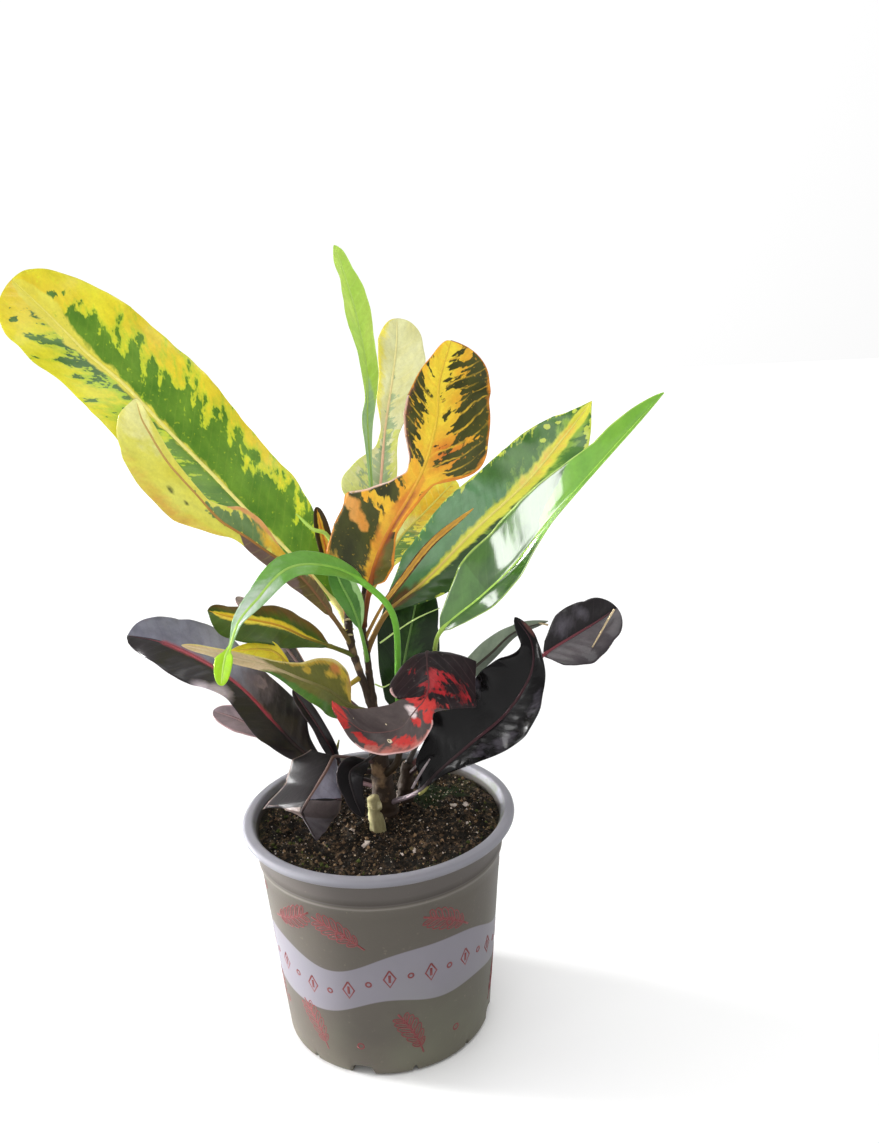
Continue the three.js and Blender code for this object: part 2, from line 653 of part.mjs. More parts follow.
function stalkSolid(leaf, shape) {
  const radius = leaf.stalk ?? STALK.radius;
  const firstSpan = ribLength(shape, shape.start, shape.start + 1);
  const end = shape.start + Math.min(0.6, STALK.overlap / firstSpan);
  const count = Math.max(3, Math.round(ribLength(shape, 0, end) / STALK.step));
  const rows = [];
  for (let k = 0; k <= count; k += 1) {
    const u = (end * k) / count;
    const taper = Math.min(1, u / shape.start);
    const thin = radius + (Math.max(STALK.endRadius, radius * 0.55) - radius) * taper ** 3;
    rows.push([...spline(shape.rib, u), thin]);
  }
  return bar(rows, STALK.sides);
}

function leafSolid(leaf) {
  const shape = leafShape(leaf);
  const stem = leaf.stem === 'side' ? 'main' : leaf.stem;
  const whole = bladeSolid(leaf, shape).add(stalkSolid(leaf, shape));
  return largest(whole.subtract(stemSolid(stem, GAP)));
}

// ---- assembly ----

function finish(color, roughness) {
  return new THREE.MeshStandardMaterial({ color, roughness, metalness: 0, flatShading: true });
}

function piece(name, body, material) {
  const mesh = new THREE.Mesh(geometryOf(body), material);
  mesh.name = name;
  return mesh;
}

const croton = new THREE.Group();
croton.name = 'potted_croton';
croton.add(piece('pot', potSolid(), finish(0x8f867e, 0.5)));
croton.add(piece('soil', soilSolid(), finish(0x2c221b, 0.95)));
croton.add(piece('stem_main', stemSolid('main', 0), finish(0x4a3b2f, 0.8)));
croton.add(piece('stem_dark', stemSolid('dark', 0), finish(0x3e352c, 0.8)));
croton.add(piece('stem_stub', stemSolid('stub', 0), finish(0xa8a070, 0.85)));
for (const leaf of LEAVES) {
  croton.add(piece(leaf.name, leafSolid(leaf), finish(leaf.color, 0.35)));
}

export default croton;
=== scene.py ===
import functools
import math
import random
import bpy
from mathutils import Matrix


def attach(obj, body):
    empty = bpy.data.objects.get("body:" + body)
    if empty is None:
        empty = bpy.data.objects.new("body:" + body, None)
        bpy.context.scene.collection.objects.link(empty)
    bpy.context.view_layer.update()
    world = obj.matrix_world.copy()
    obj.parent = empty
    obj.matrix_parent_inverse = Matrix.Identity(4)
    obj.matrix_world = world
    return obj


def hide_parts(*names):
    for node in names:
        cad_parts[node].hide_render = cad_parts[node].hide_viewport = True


bl_info = {
    "name": "Potted Croton",
    "version": (1, 0, 0),
    "blender": (4, 5, 0),
    "location": "3D View > Sidebar > Croton",
    "description": "A croton with variegated and dark leaves in a round nursery pot",
    "category": "Object",
}

import bpy
from mathutils import Matrix, Vector, noise

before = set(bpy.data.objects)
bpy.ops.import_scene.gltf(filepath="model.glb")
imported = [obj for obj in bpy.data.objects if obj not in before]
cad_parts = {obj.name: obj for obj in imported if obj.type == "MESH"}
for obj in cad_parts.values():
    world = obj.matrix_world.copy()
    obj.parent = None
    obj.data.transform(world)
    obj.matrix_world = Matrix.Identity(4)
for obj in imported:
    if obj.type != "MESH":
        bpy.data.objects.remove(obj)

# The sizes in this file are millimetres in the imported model's own frame, unless a name says
# otherwise. Meshes are written in metres.
MM = 0.001


# ---- colours ----

def shade(red, green, blue):
    """A colour as it looks on a screen, 0 to 255, as the linear colour that a shader takes."""
    linear = []
    for value in (red, green, blue):
        value /= 255
        linear.append(value / 12.92 if value <= 0.04045 else ((value + 0.055) / 1.055) ** 2.4)
    return (*linear, 1.0)


# ---- settings that a user would change ----

COLOR = {"size": 4, "subtype": "COLOR", "min": 0, "max": 1}


class StageSettings(bpy.types.PropertyGroup):
    floor_color: bpy.props.FloatVectorProperty(
        name="Floor colour", description="Colour of the floor",
        default=shade(250, 250, 250), **COLOR)
    key_power: bpy.props.FloatProperty(
        name="Key light", description="Power of the large light from the left",
        unit="POWER", min=0, default=1.8)
    gloss_power: bpy.props.FloatProperty(
        name="Gloss light", description="Power of the light that the glossy leaves mirror",
        unit="POWER", min=0, default=3.0)
    top_power: bpy.props.FloatProperty(
        name="Top light", description="Power of the large light overhead",
        unit="POWER", min=0, default=2.4)
    back_power: bpy.props.FloatProperty(
        name="Back light", description="Power of the light from behind",
        unit="POWER", min=0, default=0.8)
    side_power: bpy.props.FloatProperty(
        name="Side light", description="Power of the narrow light on the pot's left side",
        unit="POWER", min=0, default=1.25)
    sky: bpy.props.FloatProperty(
        name="Sky strength", description="Brightness of the even light from all sides",
        min=0, default=1.0)


class PotSettings(bpy.types.PropertyGroup):
    wall_color: bpy.props.FloatVectorProperty(
        name="Wall colour", description="Colour of the pot's moulded wall",
        default=shade(87, 82, 75), **COLOR)
    rim_color: bpy.props.FloatVectorProperty(
        name="Rim colour", description="Colour of the rolled rim",
        default=shade(128, 127, 134), **COLOR)
    band_color: bpy.props.FloatVectorProperty(
        name="Band colour", description="Colour of the pale printed band",
        default=shade(126, 123, 131), **COLOR)
    print_color: bpy.props.FloatVectorProperty(
        name="Print colour", description="Colour of the printed sprigs",
        default=shade(108, 50, 53), **COLOR)
    spokes: bpy.props.IntProperty(
        name="Spokes", description="Points round the pot's wall", min=48, default=480)


class SoilSettings(bpy.types.PropertyGroup):
    dark_color: bpy.props.FloatVectorProperty(
        name="Damp colour", description="Colour of the damp soil in the hollows",
        default=shade(25, 22, 18), **COLOR)
    light_color: bpy.props.FloatVectorProperty(
        name="Dry colour", description="Colour of the dry crumbs on top",
        default=shade(124, 100, 76), **COLOR)
    crumbs: bpy.props.IntProperty(
        name="Crumbs", description="How many crumbs lie on the surface", min=0, default=3600)
    grains: bpy.props.IntProperty(
        name="Pale grains", description="How many grains of perlite lie among the crumbs",
        min=0, default=1400)


class LeafSettings(bpy.types.PropertyGroup):
    thickness: bpy.props.FloatProperty(
        name="Thickness", description="Thickness of a leaf blade",
        unit="LENGTH", min=0.0001, default=0.00045)
    row_step: bpy.props.FloatProperty(
        name="Row step", description="Distance between the rows of a blade's mesh",
        unit="LENGTH", min=0.0005, default=0.0012)
    columns: bpy.props.IntProperty(
        name="Columns", description="Points from the midrib to the margin", min=4, default=13)


class CrotonSettings(bpy.types.PropertyGroup):
    stage: bpy.props.PointerProperty(type=StageSettings)
    pot: bpy.props.PointerProperty(type=PotSettings)
    soil: bpy.props.PointerProperty(type=SoilSettings)
    leaf: bpy.props.PointerProperty(type=LeafSettings)


# ---- curves ----

def spline(rows, u):
    """Catmull-Rom spline through rows of numbers, u from 0 to the last row's index."""
    last = len(rows) - 1
    i = min(int(u), last - 1)
    f = u - i
    p1 = rows[i]
    p2 = rows[i + 1]
    p0 = rows[i - 1] if i > 0 else [2 * a - b for a, b in zip(p1, p2)]
    p3 = rows[i + 2] if i + 2 <= last else [2 * b - a for a, b in zip(p1, p2)]
    return [
        0.5 * (2 * b + (c - a) * f + (2 * a - 5 * b + 4 * c - d) * f * f
               + (3 * b - a - 3 * c + d) * f * f * f)
        for a, b, c, d in zip(p0, p1, p2, p3)
    ]


def between(table, share):
    """The value at share in a table of (share, value) pairs, straight from one to the next."""
    if share <= table[0][0]:
        return table[0][1]
    for (low, first), (high, second) in zip(table, table[1:]):
        if share <= high:
            return first + (second - first) * (share - low) / (high - low)
    return table[-1][1]


def smooth_step(low, high, value):
    """0 at low and 1 at high, with a smooth start and end."""
    share = min(max((value - low) / (high - low), 0), 1)
    return share * share * (3 - 2 * share)


# ---- meshes ----

class Shell:
    """Points, faces and per-point values of one piece, in millimetres."""

    def __init__(self):
        self.points = []
        self.faces = []
        self.materials = []
        self.values = {}

    def point(self, place, **values):
        """Adds a point with its values, and returns its number."""
        self.points.append(tuple(place))
        for name, value in values.items():
            self.values.setdefault(name, {})[len(self.points) - 1] = value
        return len(self.points) - 1

    def face(self, corners, material=0):
        self.faces.append(tuple(corners))
        self.materials.append(material)

    def loft(self, loops, material=0, caps=True):
        """Joins closed loops of point numbers, which run anticlockwise seen from the loft's end."""
        for low, high in zip(loops, loops[1:]):
            count = len(low)
            for k in range(count):
                after = (k + 1) % count
                self.face((low[k], low[after], high[after], high[k]), material)
        if caps:
            self.face(reversed(loops[0]), material)
            self.face(loops[-1], material)

    def build(self, name, slot, materials, nodes=(), smooth=True):
        """Makes the object of the piece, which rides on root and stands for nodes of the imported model."""
        mesh = bpy.data.meshes.new(name)
        mesh.from_pydata([[value * MM for value in point] for point in self.points], [], self.faces)
        for value_name, numbers in self.values.items():
            layer = mesh.attributes.new(value_name, "FLOAT", "POINT")
            layer.data.foreach_set("value", [numbers.get(k, 0.0) for k in range(len(self.points))])
        for material in materials:
            mesh.materials.append(material)
        mesh.polygons.foreach_set("material_index", self.materials)
        mesh.polygons.foreach_set("use_smooth", [smooth] * len(self.faces))
        mesh.validate()
        mesh.update()
        piece = bpy.data.objects.new(name, mesh)
        bpy.context.scene.collection.objects.link(piece)
        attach(piece, "root")
        if nodes:
            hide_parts(*nodes)
        return piece


def ring_frame(along, guide):
    """Two directions square to along, the first as near to guide as it can be."""
    first = (guide - along * guide.dot(along)).normalized()
    return first, along.cross(first)


def add_tube(shell, rows, sides, material=0, wobble=0.0, seed=0.0, **values):
    """A closed round bar through rows of x, y, z and radius, with a number of each value for each row."""
    loops = []
    guide = Vector((1, 0, 0))
    places = [Vector(row[:3]) for row in rows]
    for k, here in enumerate(places):
        ahead, behind = places[min(k + 1, len(rows) - 1)], places[max(k - 1, 0)]
        guide, up = ring_frame((ahead - behind).normalized(), guide)
        loop = []
        for s in range(sides):
            angle = 2 * math.pi * s / sides
            outward = guide * math.cos(angle) + up * math.sin(angle)
            knob = noise.noise(here * 0.35 + outward * 1.3 + Vector((seed, 0, 0))) if wobble else 0.0
            radius = rows[k][3] * (1 + wobble * knob)
            own = {name: numbers[k] for name, numbers in values.items()}
            loop.append(shell.point(here + outward * radius, **own))
        loops.append(loop)
    shell.loft(loops, material)
    return loops


# ---- materials ----

class NodeWork:
    """The nodes of a material or of the sky, put together like sums."""

    def __init__(self, owner):
        owner.use_nodes = True
        self.nodes = owner.node_tree.nodes
        self.links = owner.node_tree.links

    def put(self, target, value):
        if isinstance(value, bpy.types.NodeSocket):
            self.links.new(value, target)
        else:
            target.default_value = value

    def axes(self, vector):
        node = self.nodes.new("ShaderNodeSeparateXYZ")
        self.put(node.inputs[0], vector)
        return node.outputs

    def vector(self, x, y, z):
        node = self.nodes.new("ShaderNodeCombineXYZ")
        for target, value in zip(node.inputs, (x, y, z)):
            self.put(target, value)
        return node.outputs[0]

    def math(self, operation, first, second=0.0, third=0.0, clamp=False):
        node = self.nodes.new("ShaderNodeMath")
        node.operation = operation
        node.use_clamp = clamp
        for target, value in zip(node.inputs, (first, second, third)):
            self.put(target, value)
        return node.outputs[0]

    def plus(self, first, second):
        return self.math("ADD", first, second)

    def minus(self, first, second):
        return self.math("SUBTRACT", first, second)

    def times(self, first, second):
        return self.math("MULTIPLY", first, second)

    def scaled(self, value, factor, added, clamp=False):
        return self.math("MULTIPLY_ADD", value, factor, added, clamp=clamp)

    def edge(self, amount, soft):
        """0 below zero and 1 above it, over a width of soft."""
        return self.scaled(amount, 1 / soft, 0.5, clamp=True)

    def above(self, value, limit, soft):
        """1 where value is more than limit, and 0 where it is less."""
        return self.edge(self.minus(value, limit), soft)

    def near(self, value, middle, reach, soft):
        """1 where value is within reach of middle."""
        return self.above(reach, self.math("ABSOLUTE", self.minus(value, middle)), soft)

    def from_axis(self, x, y):
        """How far a place is from the pot's middle line."""
        return self.math("SQRT", self.plus(self.times(x, x), self.times(y, y)))


class Paint(NodeWork):
    """The nodes of one material, which end in its Principled shader."""

    def __init__(self, name, **sockets):
        self.material = bpy.data.materials.new(name)
        super().__init__(self.material)
        self.shader = self.nodes["Principled BSDF"]
        for socket, value in sockets.items():
            self.shader.inputs[socket.replace("_", " ")].default_value = value

    def value(self, name):
        """A value that the mesh has at each of its points."""
        node = self.nodes.new("ShaderNodeAttribute")
        node.attribute_name = name
        return node.outputs["Fac"]

    def place(self):
        return self.nodes.new("ShaderNodeTexCoord").outputs["Object"]

    def stretch(self, vector, scale):
        node = self.nodes.new("ShaderNodeVectorMath")
        node.operation = "MULTIPLY"
        self.put(node.inputs[0], vector)
        node.inputs[1].default_value = scale
        return node.outputs[0]

    def noise(self, vector, scale=1.0, detail=2.0, roughness=0.5):
        node = self.nodes.new("ShaderNodeTexNoise")
        self.put(node.inputs["Vector"], vector)
        node.inputs["Scale"].default_value = scale
        node.inputs["Detail"].default_value = detail
        node.inputs["Roughness"].default_value = roughness
        return node.outputs["Fac"]

    def ramp(self, share, stops):
        """Colours along share, from a list of (position, colour) pairs."""
        node = self.nodes.new("ShaderNodeValToRGB")
        self.put(node.inputs[0], share)
        elements = node.color_ramp.elements
        while len(elements) < len(stops):
            elements.new(0.5)
        for element, (position, tone) in zip(elements, stops):
            element.position = position
            element.color = shade(*tone) if len(tone) == 3 else tone
        return node.outputs[0]

    def blend(self, share, first, second):
        """The first colour where share is 0 and the second where it is 1."""
        node = self.nodes.new("ShaderNodeMix")
        node.data_type = "RGBA"
        self.put(node.inputs["Factor"], share)
        for target, tone in zip(node.inputs[6:8], (first, second)):
            self.put(target, shade(*tone) if isinstance(tone, tuple) and len(tone) == 3 else tone)
        return node.outputs[2]

    def shade_by(self, color, amount):
        """The colour made darker or lighter by amount, where 1 leaves it as it is."""
        node = self.nodes.new("ShaderNodeVectorMath")
        node.operation = "SCALE"
        self.put(node.inputs[0], color if isinstance(color, bpy.types.NodeSocket) else color[:3])
        self.put(node.inputs["Scale"], amount)
        return node.outputs[0]

    def mottled(self, share, color):
        """A colour of the settings, a tenth darker in places."""
        return self.blend(share, self.shade_by(color, 0.9), color)

    def color(self, value):
        self.put(self.shader.inputs["Base Color"], value)

    def glow(self, strength):
        self.shader.inputs["Emission Color"].default_value = shade(255, 255, 255)
        self.put(self.shader.inputs["Emission Strength"], strength)

    def bump(self, height, distance, strength=1.0):
        node = self.nodes.new("ShaderNodeBump")
        node.inputs["Distance"].default_value = distance
        node.inputs["Strength"].default_value = strength
        self.put(node.inputs["Height"], height)
        self.links.new(node.outputs[0], self.shader.inputs["Normal"])


# ---- stage ----

CAMERA_PLACE = (0.0, -403.7, 316.7)
CAMERA_PAN = 4.44          # degrees to the right of straight ahead
CAMERA_DIP = 15.0          # degrees below level
CAMERA_ROLL = -2.4
CAMERA_LENS = 31.47
CAMERA_SENSOR = 36
STAGE_REACH = 4000.0
FLOOR_GLOW = 0.3           # the most that the floor shines, far away, where it meets the sky unseen
FLOOR_GLOW_SLOPE = 0.4     # how much more it shines for each metre from the plant
FLOOR_GLOW_START = -0.12
SKY_EVEN = 0.8
SKY_SHARES = (-0.12, 0.26, 0.12)       # how much brighter the sky is towards +X, +Y and +Z
SKY_LEAST = 0.5
SKY_MOST = 1.05

# name, place, the point it shines at, width, and spread in degrees
LIGHTS = (
    ("key", (-900, 60, 560), (0, 0, 150), 500, 180),
    ("gloss", (-950, -420, 110), (0, 0, 170), 300, 180),
    ("top", (120, -380, 1180), (0, 0, 150), 450, 180),
    ("back", (250, 700, 800), (0, 0, 220), 500, 180),
    ("side", (-846, 308, 150), (0, 0, 40), 420, 20),
)


def camera_turn():
    """The camera's directions: to its right, up, and back from where it looks."""
    pan, dip, roll = (math.radians(angle) for angle in (CAMERA_PAN, CAMERA_DIP, CAMERA_ROLL))
    ahead = Vector((math.sin(pan) * math.cos(dip), math.cos(pan) * math.cos(dip), -math.sin(dip)))
    right = ahead.cross(Vector((0, 0, 1))).normalized()
    up = right.cross(ahead)
    turned_right = right * math.cos(roll) + up * math.sin(roll)
    turned_up = up * math.cos(roll) - right * math.sin(roll)
    return Matrix((turned_right, turned_up, -ahead)).transposed()


def hang(name, data, place, turn):
    """A camera or a lamp at its place in the scene."""
    item = bpy.data.objects.new(name, data)
    item.matrix_world = Matrix.Translation(Vector(place) * MM) @ turn.to_4x4()
    bpy.context.scene.collection.objects.link(item)
    return item


def add_camera():
    data = bpy.data.cameras.new("camera")
    data.lens = CAMERA_LENS
    data.sensor_width = CAMERA_SENSOR
    bpy.context.scene.camera = hang("camera", data, CAMERA_PLACE, camera_turn())


def add_light(name, place, target, size, spread, power):
    data = bpy.data.lights.new(name, "AREA")
    data.spread = math.radians(spread)
    data.shape = "DISK"
    data.size = size * MM
    data.energy = power
    ray = Vector(target) - Vector(place)
    hang(name, data, place, ray.to_track_quat("-Z", "Y").to_matrix())


def sky_world(strength):
    """An even white sky, brightest behind the plant and overhead, and dimmer on the camera's side."""
    world = bpy.data.worlds.new("sky")
    sky = NodeWork(world)
    background = sky.nodes["Background"]
    background.inputs["Color"].default_value = shade(255, 255, 255)
    axes = sky.axes(sky.nodes.new("ShaderNodeTexCoord").outputs["Generated"])
    total = SKY_EVEN
    for axis, share in zip(axes, SKY_SHARES):
        total = sky.scaled(axis, share, total)
    limit = sky.nodes.new("ShaderNodeClamp")
    for socket, value in (("Min", SKY_LEAST), ("Max", SKY_MOST), ("Value", total)):
        sky.put(limit.inputs[socket], value)
    sky.put(background.inputs["Strength"], sky.times(limit.outputs[0], strength))
    return world


def add_floor(color):
    paint = Paint("floor", Roughness=0.9)
    paint.color(color)
    x, y, _ = paint.axes(paint.place())
    glow = paint.scaled(paint.from_axis(x, y), FLOOR_GLOW_SLOPE, FLOOR_GLOW_START, clamp=True)
    paint.glow(paint.math("MINIMUM", glow, FLOOR_GLOW))
    mesh = bpy.data.meshes.new("floor")
    reach = STAGE_REACH * MM
    corners = [(-reach, -reach, 0), (reach, -reach, 0), (reach, reach, 0), (-reach, reach, 0)]
    mesh.from_pydata(corners, [], [(0, 1, 2, 3)])
    mesh.materials.append(paint.material)
    floor = bpy.data.objects.new("floor", mesh)
    bpy.context.scene.collection.objects.link(floor)


class CROTON_OT_set_stage(bpy.types.Operator):
    """Put up the camera, the floor and the lights"""
    bl_idname = "croton.set_stage"
    bl_label = "Set the Stage"

    def execute(self, context):
        stage = context.scene.croton.stage
        add_camera()
        add_floor(stage.floor_color)
        context.scene.world = sky_world(stage.sky)
        context.scene.view_settings.view_transform = "Standard"
        for name, *settings in LIGHTS:
            add_light(name, *settings, getattr(stage, name + "_power"))
        return {"FINISHED"}


# ---- pot ----

RIM_RADIUS = 60.0
MOUTH_RADIUS = 55.3
RIM_TOP = 102.3
RIM_BOTTOM = 98.5
COLLAR_RADIUS = 54.6
SHOULDER_HEIGHT = 84.5
SHOULDER_STEP = 1.2
SHOULDER_TOP = SHOULDER_HEIGHT + SHOULDER_STEP
WALL_TOP_RADIUS = 53.4
BASE_RADIUS = 46.6
BASE_CORNER = 3.0
WALL = 1.3
ARCHES = 4
ARCH_TURN = -17.5          # degrees round from the front to the first arch under the wall
ARCH_HALF = 6.5            # half its width, in degrees
ARCH_HEIGHT = 4.0
SLOT_TURN = 28.5           # degrees from an arch to the drain slot on each side of it
SLOT_HALF = 1.15
SLOT_HEIGHT = 2.3
CUT_DEPTH = 10.0           # how far arches and slots reach in under the pot
CUT_RADIUS = BASE_RADIUS - BASE_CORNER - CUT_DEPTH
CUT_SLOPE = 2.5            # the width over which they rise from the flat underside
LIFTED = 9.0               # the wall above this height isn't moved by them
FLOOR_TOP = ARCH_HEIGHT + 1.3
SWELL = 0.0016             # how unevenly the pot is moulded, as a share of its radius


def wall_radius(height):
    """The outer radius of the tapered wall."""
    share = (height - BASE_CORNER) / (SHOULDER_HEIGHT - BASE_CORNER)
    return BASE_RADIUS + (WALL_TOP_RADIUS - BASE_RADIUS) * share


def quarter_turns(count):
    """Angles of a rounded corner."""
    return [math.pi / 2 * k / count for k in range(count + 1)]


def pot_profile():
    """Radius and height from the middle of the underside, out and up to the rim, and down inside."""
    corner_radius = BASE_RADIUS - BASE_CORNER
    rows = [(0.0, 0.0), (20.0, 0.0)]
    rows += [(CUT_RADIUS + 1.6 * k, 0.0) for k in range(6)]
    rows.append((corner_radius - 0.5, 0.0))
    for turn in quarter_turns(6):
        rows.append((BASE_RADIUS - BASE_CORNER * (1 - math.sin(turn)), BASE_CORNER * (1 - math.cos(turn))))
    wall = [BASE_CORNER + k for k in range(1, 7)]
    wall += [LIFTED + (SHOULDER_HEIGHT - 0.4 - LIFTED) * k / 20 for k in range(1, 21)]
    rows += [(wall_radius(height), height) for height in wall]
    rows.append((WALL_TOP_RADIUS + 0.25, SHOULDER_HEIGHT + 0.1))
    rows += [(COLLAR_RADIUS + out, SHOULDER_TOP + up)
             for out, up in ((-0.7, -0.5), (-0.3, 0), (-0.35, 0.5), (-0.6, 1.0))]
    rows += [(COLLAR_RADIUS + out, RIM_BOTTOM + up)
             for out, up in ((0.1, -3.2), (0.3, -1.6), (0.6, -0.5), (1.4, 0.1))]
    rows.append((RIM_RADIUS - 1.3, RIM_BOTTOM + 0.1))
    for k in range(9):
        turn = math.pi * (k / 8 - 0.5)
        rows.append((RIM_RADIUS - 1.5 + 1.5 * math.cos(turn), RIM_TOP - 1.9 + 1.75 * math.sin(turn)))
    for turn in quarter_turns(6):
        rows.append((MOUTH_RADIUS + 0.9 - 1.2 * math.sin(turn), RIM_TOP - 1.1 + 1.1 * math.cos(turn)))
    rows += [
        (COLLAR_RADIUS - WALL, RIM_BOTTOM - 0.5),
        (COLLAR_RADIUS - WALL, SHOULDER_TOP),
        (WALL_TOP_RADIUS - WALL, SHOULDER_HEIGHT),
        (BASE_RADIUS - WALL, FLOOR_TOP + 1.2),
        (BASE_RADIUS - WALL - 2, FLOOR_TOP),
        (0.0, FLOOR_TOP),
    ]
    return rows


def foot_lift(angle, radius, height):
    """How far the arches and slots under the wall raise a point, angle in degrees from the front."""
    if height >= LIFTED:
        return 0.0
    pitch = 360 / ARCHES
    off = abs((angle - ARCH_TURN + pitch / 2) % pitch - pitch / 2)
    arch = ARCH_HEIGHT * math.sqrt(max(1 - (off / ARCH_HALF) ** 4, 0))
    beside = abs(off - SLOT_TURN)
    slot = SLOT_HEIGHT * (1 - smooth_step(SLOT_HALF * 0.75, SLOT_HALF * 1.3, beside))
    near_edge = smooth_step(CUT_RADIUS, CUT_RADIUS + CUT_SLOPE, radius)
    return max(arch, slot) * near_edge * (1 - height / LIFTED)


def pot_shell(spokes):
    shell = Shell()
    profile = pot_profile()
    loops = []
    for k, (radius, height) in enumerate(profile[1:-1]):
        loop = []
        outside = k < len(profile) / 2
        for s in range(spokes):
            angle = 2 * math.pi * s / spokes
            x, y = math.cos(angle), math.sin(angle)
            lift = foot_lift(math.degrees(angle) + 90, radius, height) if outside else 0.0
            swell = 1 + SWELL * noise.noise(Vector((x * 1.7, y * 1.7, height * 0.02)))
            loop.append(shell.point((radius * swell * x, radius * swell * y, height + lift)))
        loops.append(loop)
    shell.loft(loops, caps=False)
    for row, loop in ((profile[0], loops[0]), (profile[-1], loops[-1])):
        hub = shell.point((0, 0, row[1]))
        for s in range(spokes):
            after = (s + 1) % spokes
            shell.face((hub, loop[after], loop[s]) if row[1] == 0 else (hub, loop[s], loop[after]))
    return shell


# The pale band's middle line is a height with waves on it, and its half width is too. Each wave is how
# many go round the pot, where the first begins, in radians, and its height.
BAND_MIDDLE = 47.5
BAND_WAVES = ((3, 0.6, 4.2), (7, 1.9, 1.2))
BAND_HALF = 11.8
BAND_SWELLS = ((4, -0.4, 2.2),)

LOW_WALL_HEIGHT = 12.0       # the wall is lighter up to about here
WASH_HEIGHT = 40.0         # the wall is washed greenish below this
RIM_LIT_HEIGHT = 100.0          # the rim is painted lighter above this, as light on its top, and darker below it, as painted shade
INNER_DARK_HEIGHT = 101.2        # and the wall inside it is darker below this
INNER_DARK_FADE = 500.0          # how fast that darkening fades out upwards, for each metre
DUST_TONE = (98, 91, 82)
COLLAR_TONE = (110, 104, 112)
RIM_SHADOW_TONE = (62, 58, 58)
# a painted shadow in a line just under the rim
SHOULDER_TONE = (186, 180, 172)
LOW_WALL_TONE = (118, 110, 98)
INNER_DARK_TONE = (48, 42, 34)
ALGAE_TONE = (96, 104, 66)
WASH_TONE = (122, 130, 104)


def waved(paint, turn, level, waves):
    """A height round the pot: a level with waves on it."""
    waves = [paint.times(paint.math("SINE", paint.scaled(turn, count, start)), height * MM)
             for count, start, height in waves]
    return paint.plus(functools.reduce(paint.plus, waves), level * MM)


def band_paint(paint, settings):
    """The pot's colour: a pale band with a waved outline round a taupe wall, and a greyer rim, with painted
    light on the rim's top, painted shade on its lower side and a painted shadow under it.
    """
    x, y, z = paint.axes(paint.place())
    radius = paint.from_axis(x, y)
    turn = paint.math("ARCTAN2", x, paint.times(y, -1.0))
    mottle = paint.noise(paint.place(), scale=38, detail=4, roughness=0.6)
    dust = paint.noise(paint.place(), scale=420, detail=3, roughness=0.7)
    blots = paint.noise(paint.place(), scale=40, detail=5, roughness=0.7)
    washes = paint.noise(paint.place(), scale=16, detail=4)

    wall = paint.mottled(mottle, settings.wall_color)
    wall = paint.blend(paint.above(dust, 0.68, 0.08), wall, DUST_TONE)
    in_band = paint.near(z, waved(paint, turn, BAND_MIDDLE, BAND_WAVES),
                         waved(paint, turn, BAND_HALF, BAND_SWELLS), 0.0005)
    wall = paint.blend(in_band, wall, paint.mottled(mottle, settings.band_color))
    for where, strength, tone in (
            (paint.above(z, (SHOULDER_TOP + 1.2) * MM, 0.0004), 0.15, COLLAR_TONE),
            # a painted shadow just under the rim
            (paint.near(z, (RIM_BOTTOM - 1.3) * MM, 0.0007, 0.0008), 0.6, RIM_SHADOW_TONE),
            (paint.near(z, (SHOULDER_TOP + 0.2) * MM, 0.0005, 0.0006), 0.2, SHOULDER_TONE),
            (paint.above(LOW_WALL_HEIGHT * MM, z, 0.02), 0.3, LOW_WALL_TONE)):
        wall = paint.blend(paint.times(where, strength), wall, tone)

    rim = paint.mottled(mottle, settings.rim_color)
    # painted light on the rim's top and painted shade on its lower side
    rim = paint.shade_by(rim, paint.scaled(paint.above(z, RIM_LIT_HEIGHT * MM, 0.0026), 0.45, 0.7))
    wall = paint.blend(paint.above(z, RIM_BOTTOM * MM - 0.0002, 0.0006), wall, rim)

    # the wall inside the mouth is darker the deeper it lies
    inner_dark = paint.scaled(paint.minus(INNER_DARK_HEIGHT * MM, z), INNER_DARK_FADE, paint.times(blots, 1.2), clamp=True)
    within = paint.times(paint.above((COLLAR_RADIUS - 0.5) * MM, radius, 0.0004),
                         paint.above(z, (SHOULDER_HEIGHT + 3) * MM, 0.0004))
    inside = paint.times(paint.above((MOUTH_RADIUS + 0.3) * MM, radius, 0.001),
                         paint.above(z, (RIM_BOTTOM + 0.4) * MM, 0.0004))
    low = paint.above(WASH_HEIGHT * MM, z, 0.06)
    for where, strength, tone in (
            (paint.times(inner_dark, within), 0.85, INNER_DARK_TONE),
            (paint.times(inside, paint.above(blots, 0.55, 0.14)), 0.6, ALGAE_TONE),
            (paint.times(paint.above(washes, 0.62, 0.3), low), 0.4, WASH_TONE)):
        wall = paint.blend(paint.times(where, strength), wall, tone)
    return wall


class CROTON_OT_build_pot(bpy.types.Operator):
    """Build the nursery pot with its rolled rim, shoulder and feet"""
    bl_idname = "croton.build_pot"
    bl_label = "Build the Pot"

    def execute(self, context):
        settings = context.scene.croton.pot
        paint = Paint("pot_plastic", Roughness=0.5, Specular_IOR_Level=0.15)
        paint.color(band_paint(paint, settings))
        paint.bump(paint.noise(paint.place(), scale=900, detail=2), 0.00008, 0.6)
        pot_shell(settings.spokes).build("nursery_pot", "pot", [paint.material], nodes=["pot"])
        return {"FINISHED"}


# ---- print on the pot ----

PRINT_LIFT = 0.07
LINE_WIDTH = 0.75
SPRIG_BOW = 1.2            # how far a sprig's stem bows sideways
RING_SIDES = 16
LOZENGE = 4.2              # half its height
PRINT_HEIGHT = 50          # where the lengths round the wall are measured
INK_WORN = (128, 72, 71)
SPRIGS = 7
SPRIG_LENGTH = 25
LEAFLET_PAIRS = 6
LEAFLET_LEAN = 0.72        # how far a leaflet runs along its sprig, and out from it, for its length
MARKS = 36                 # rings and lozenges along the band


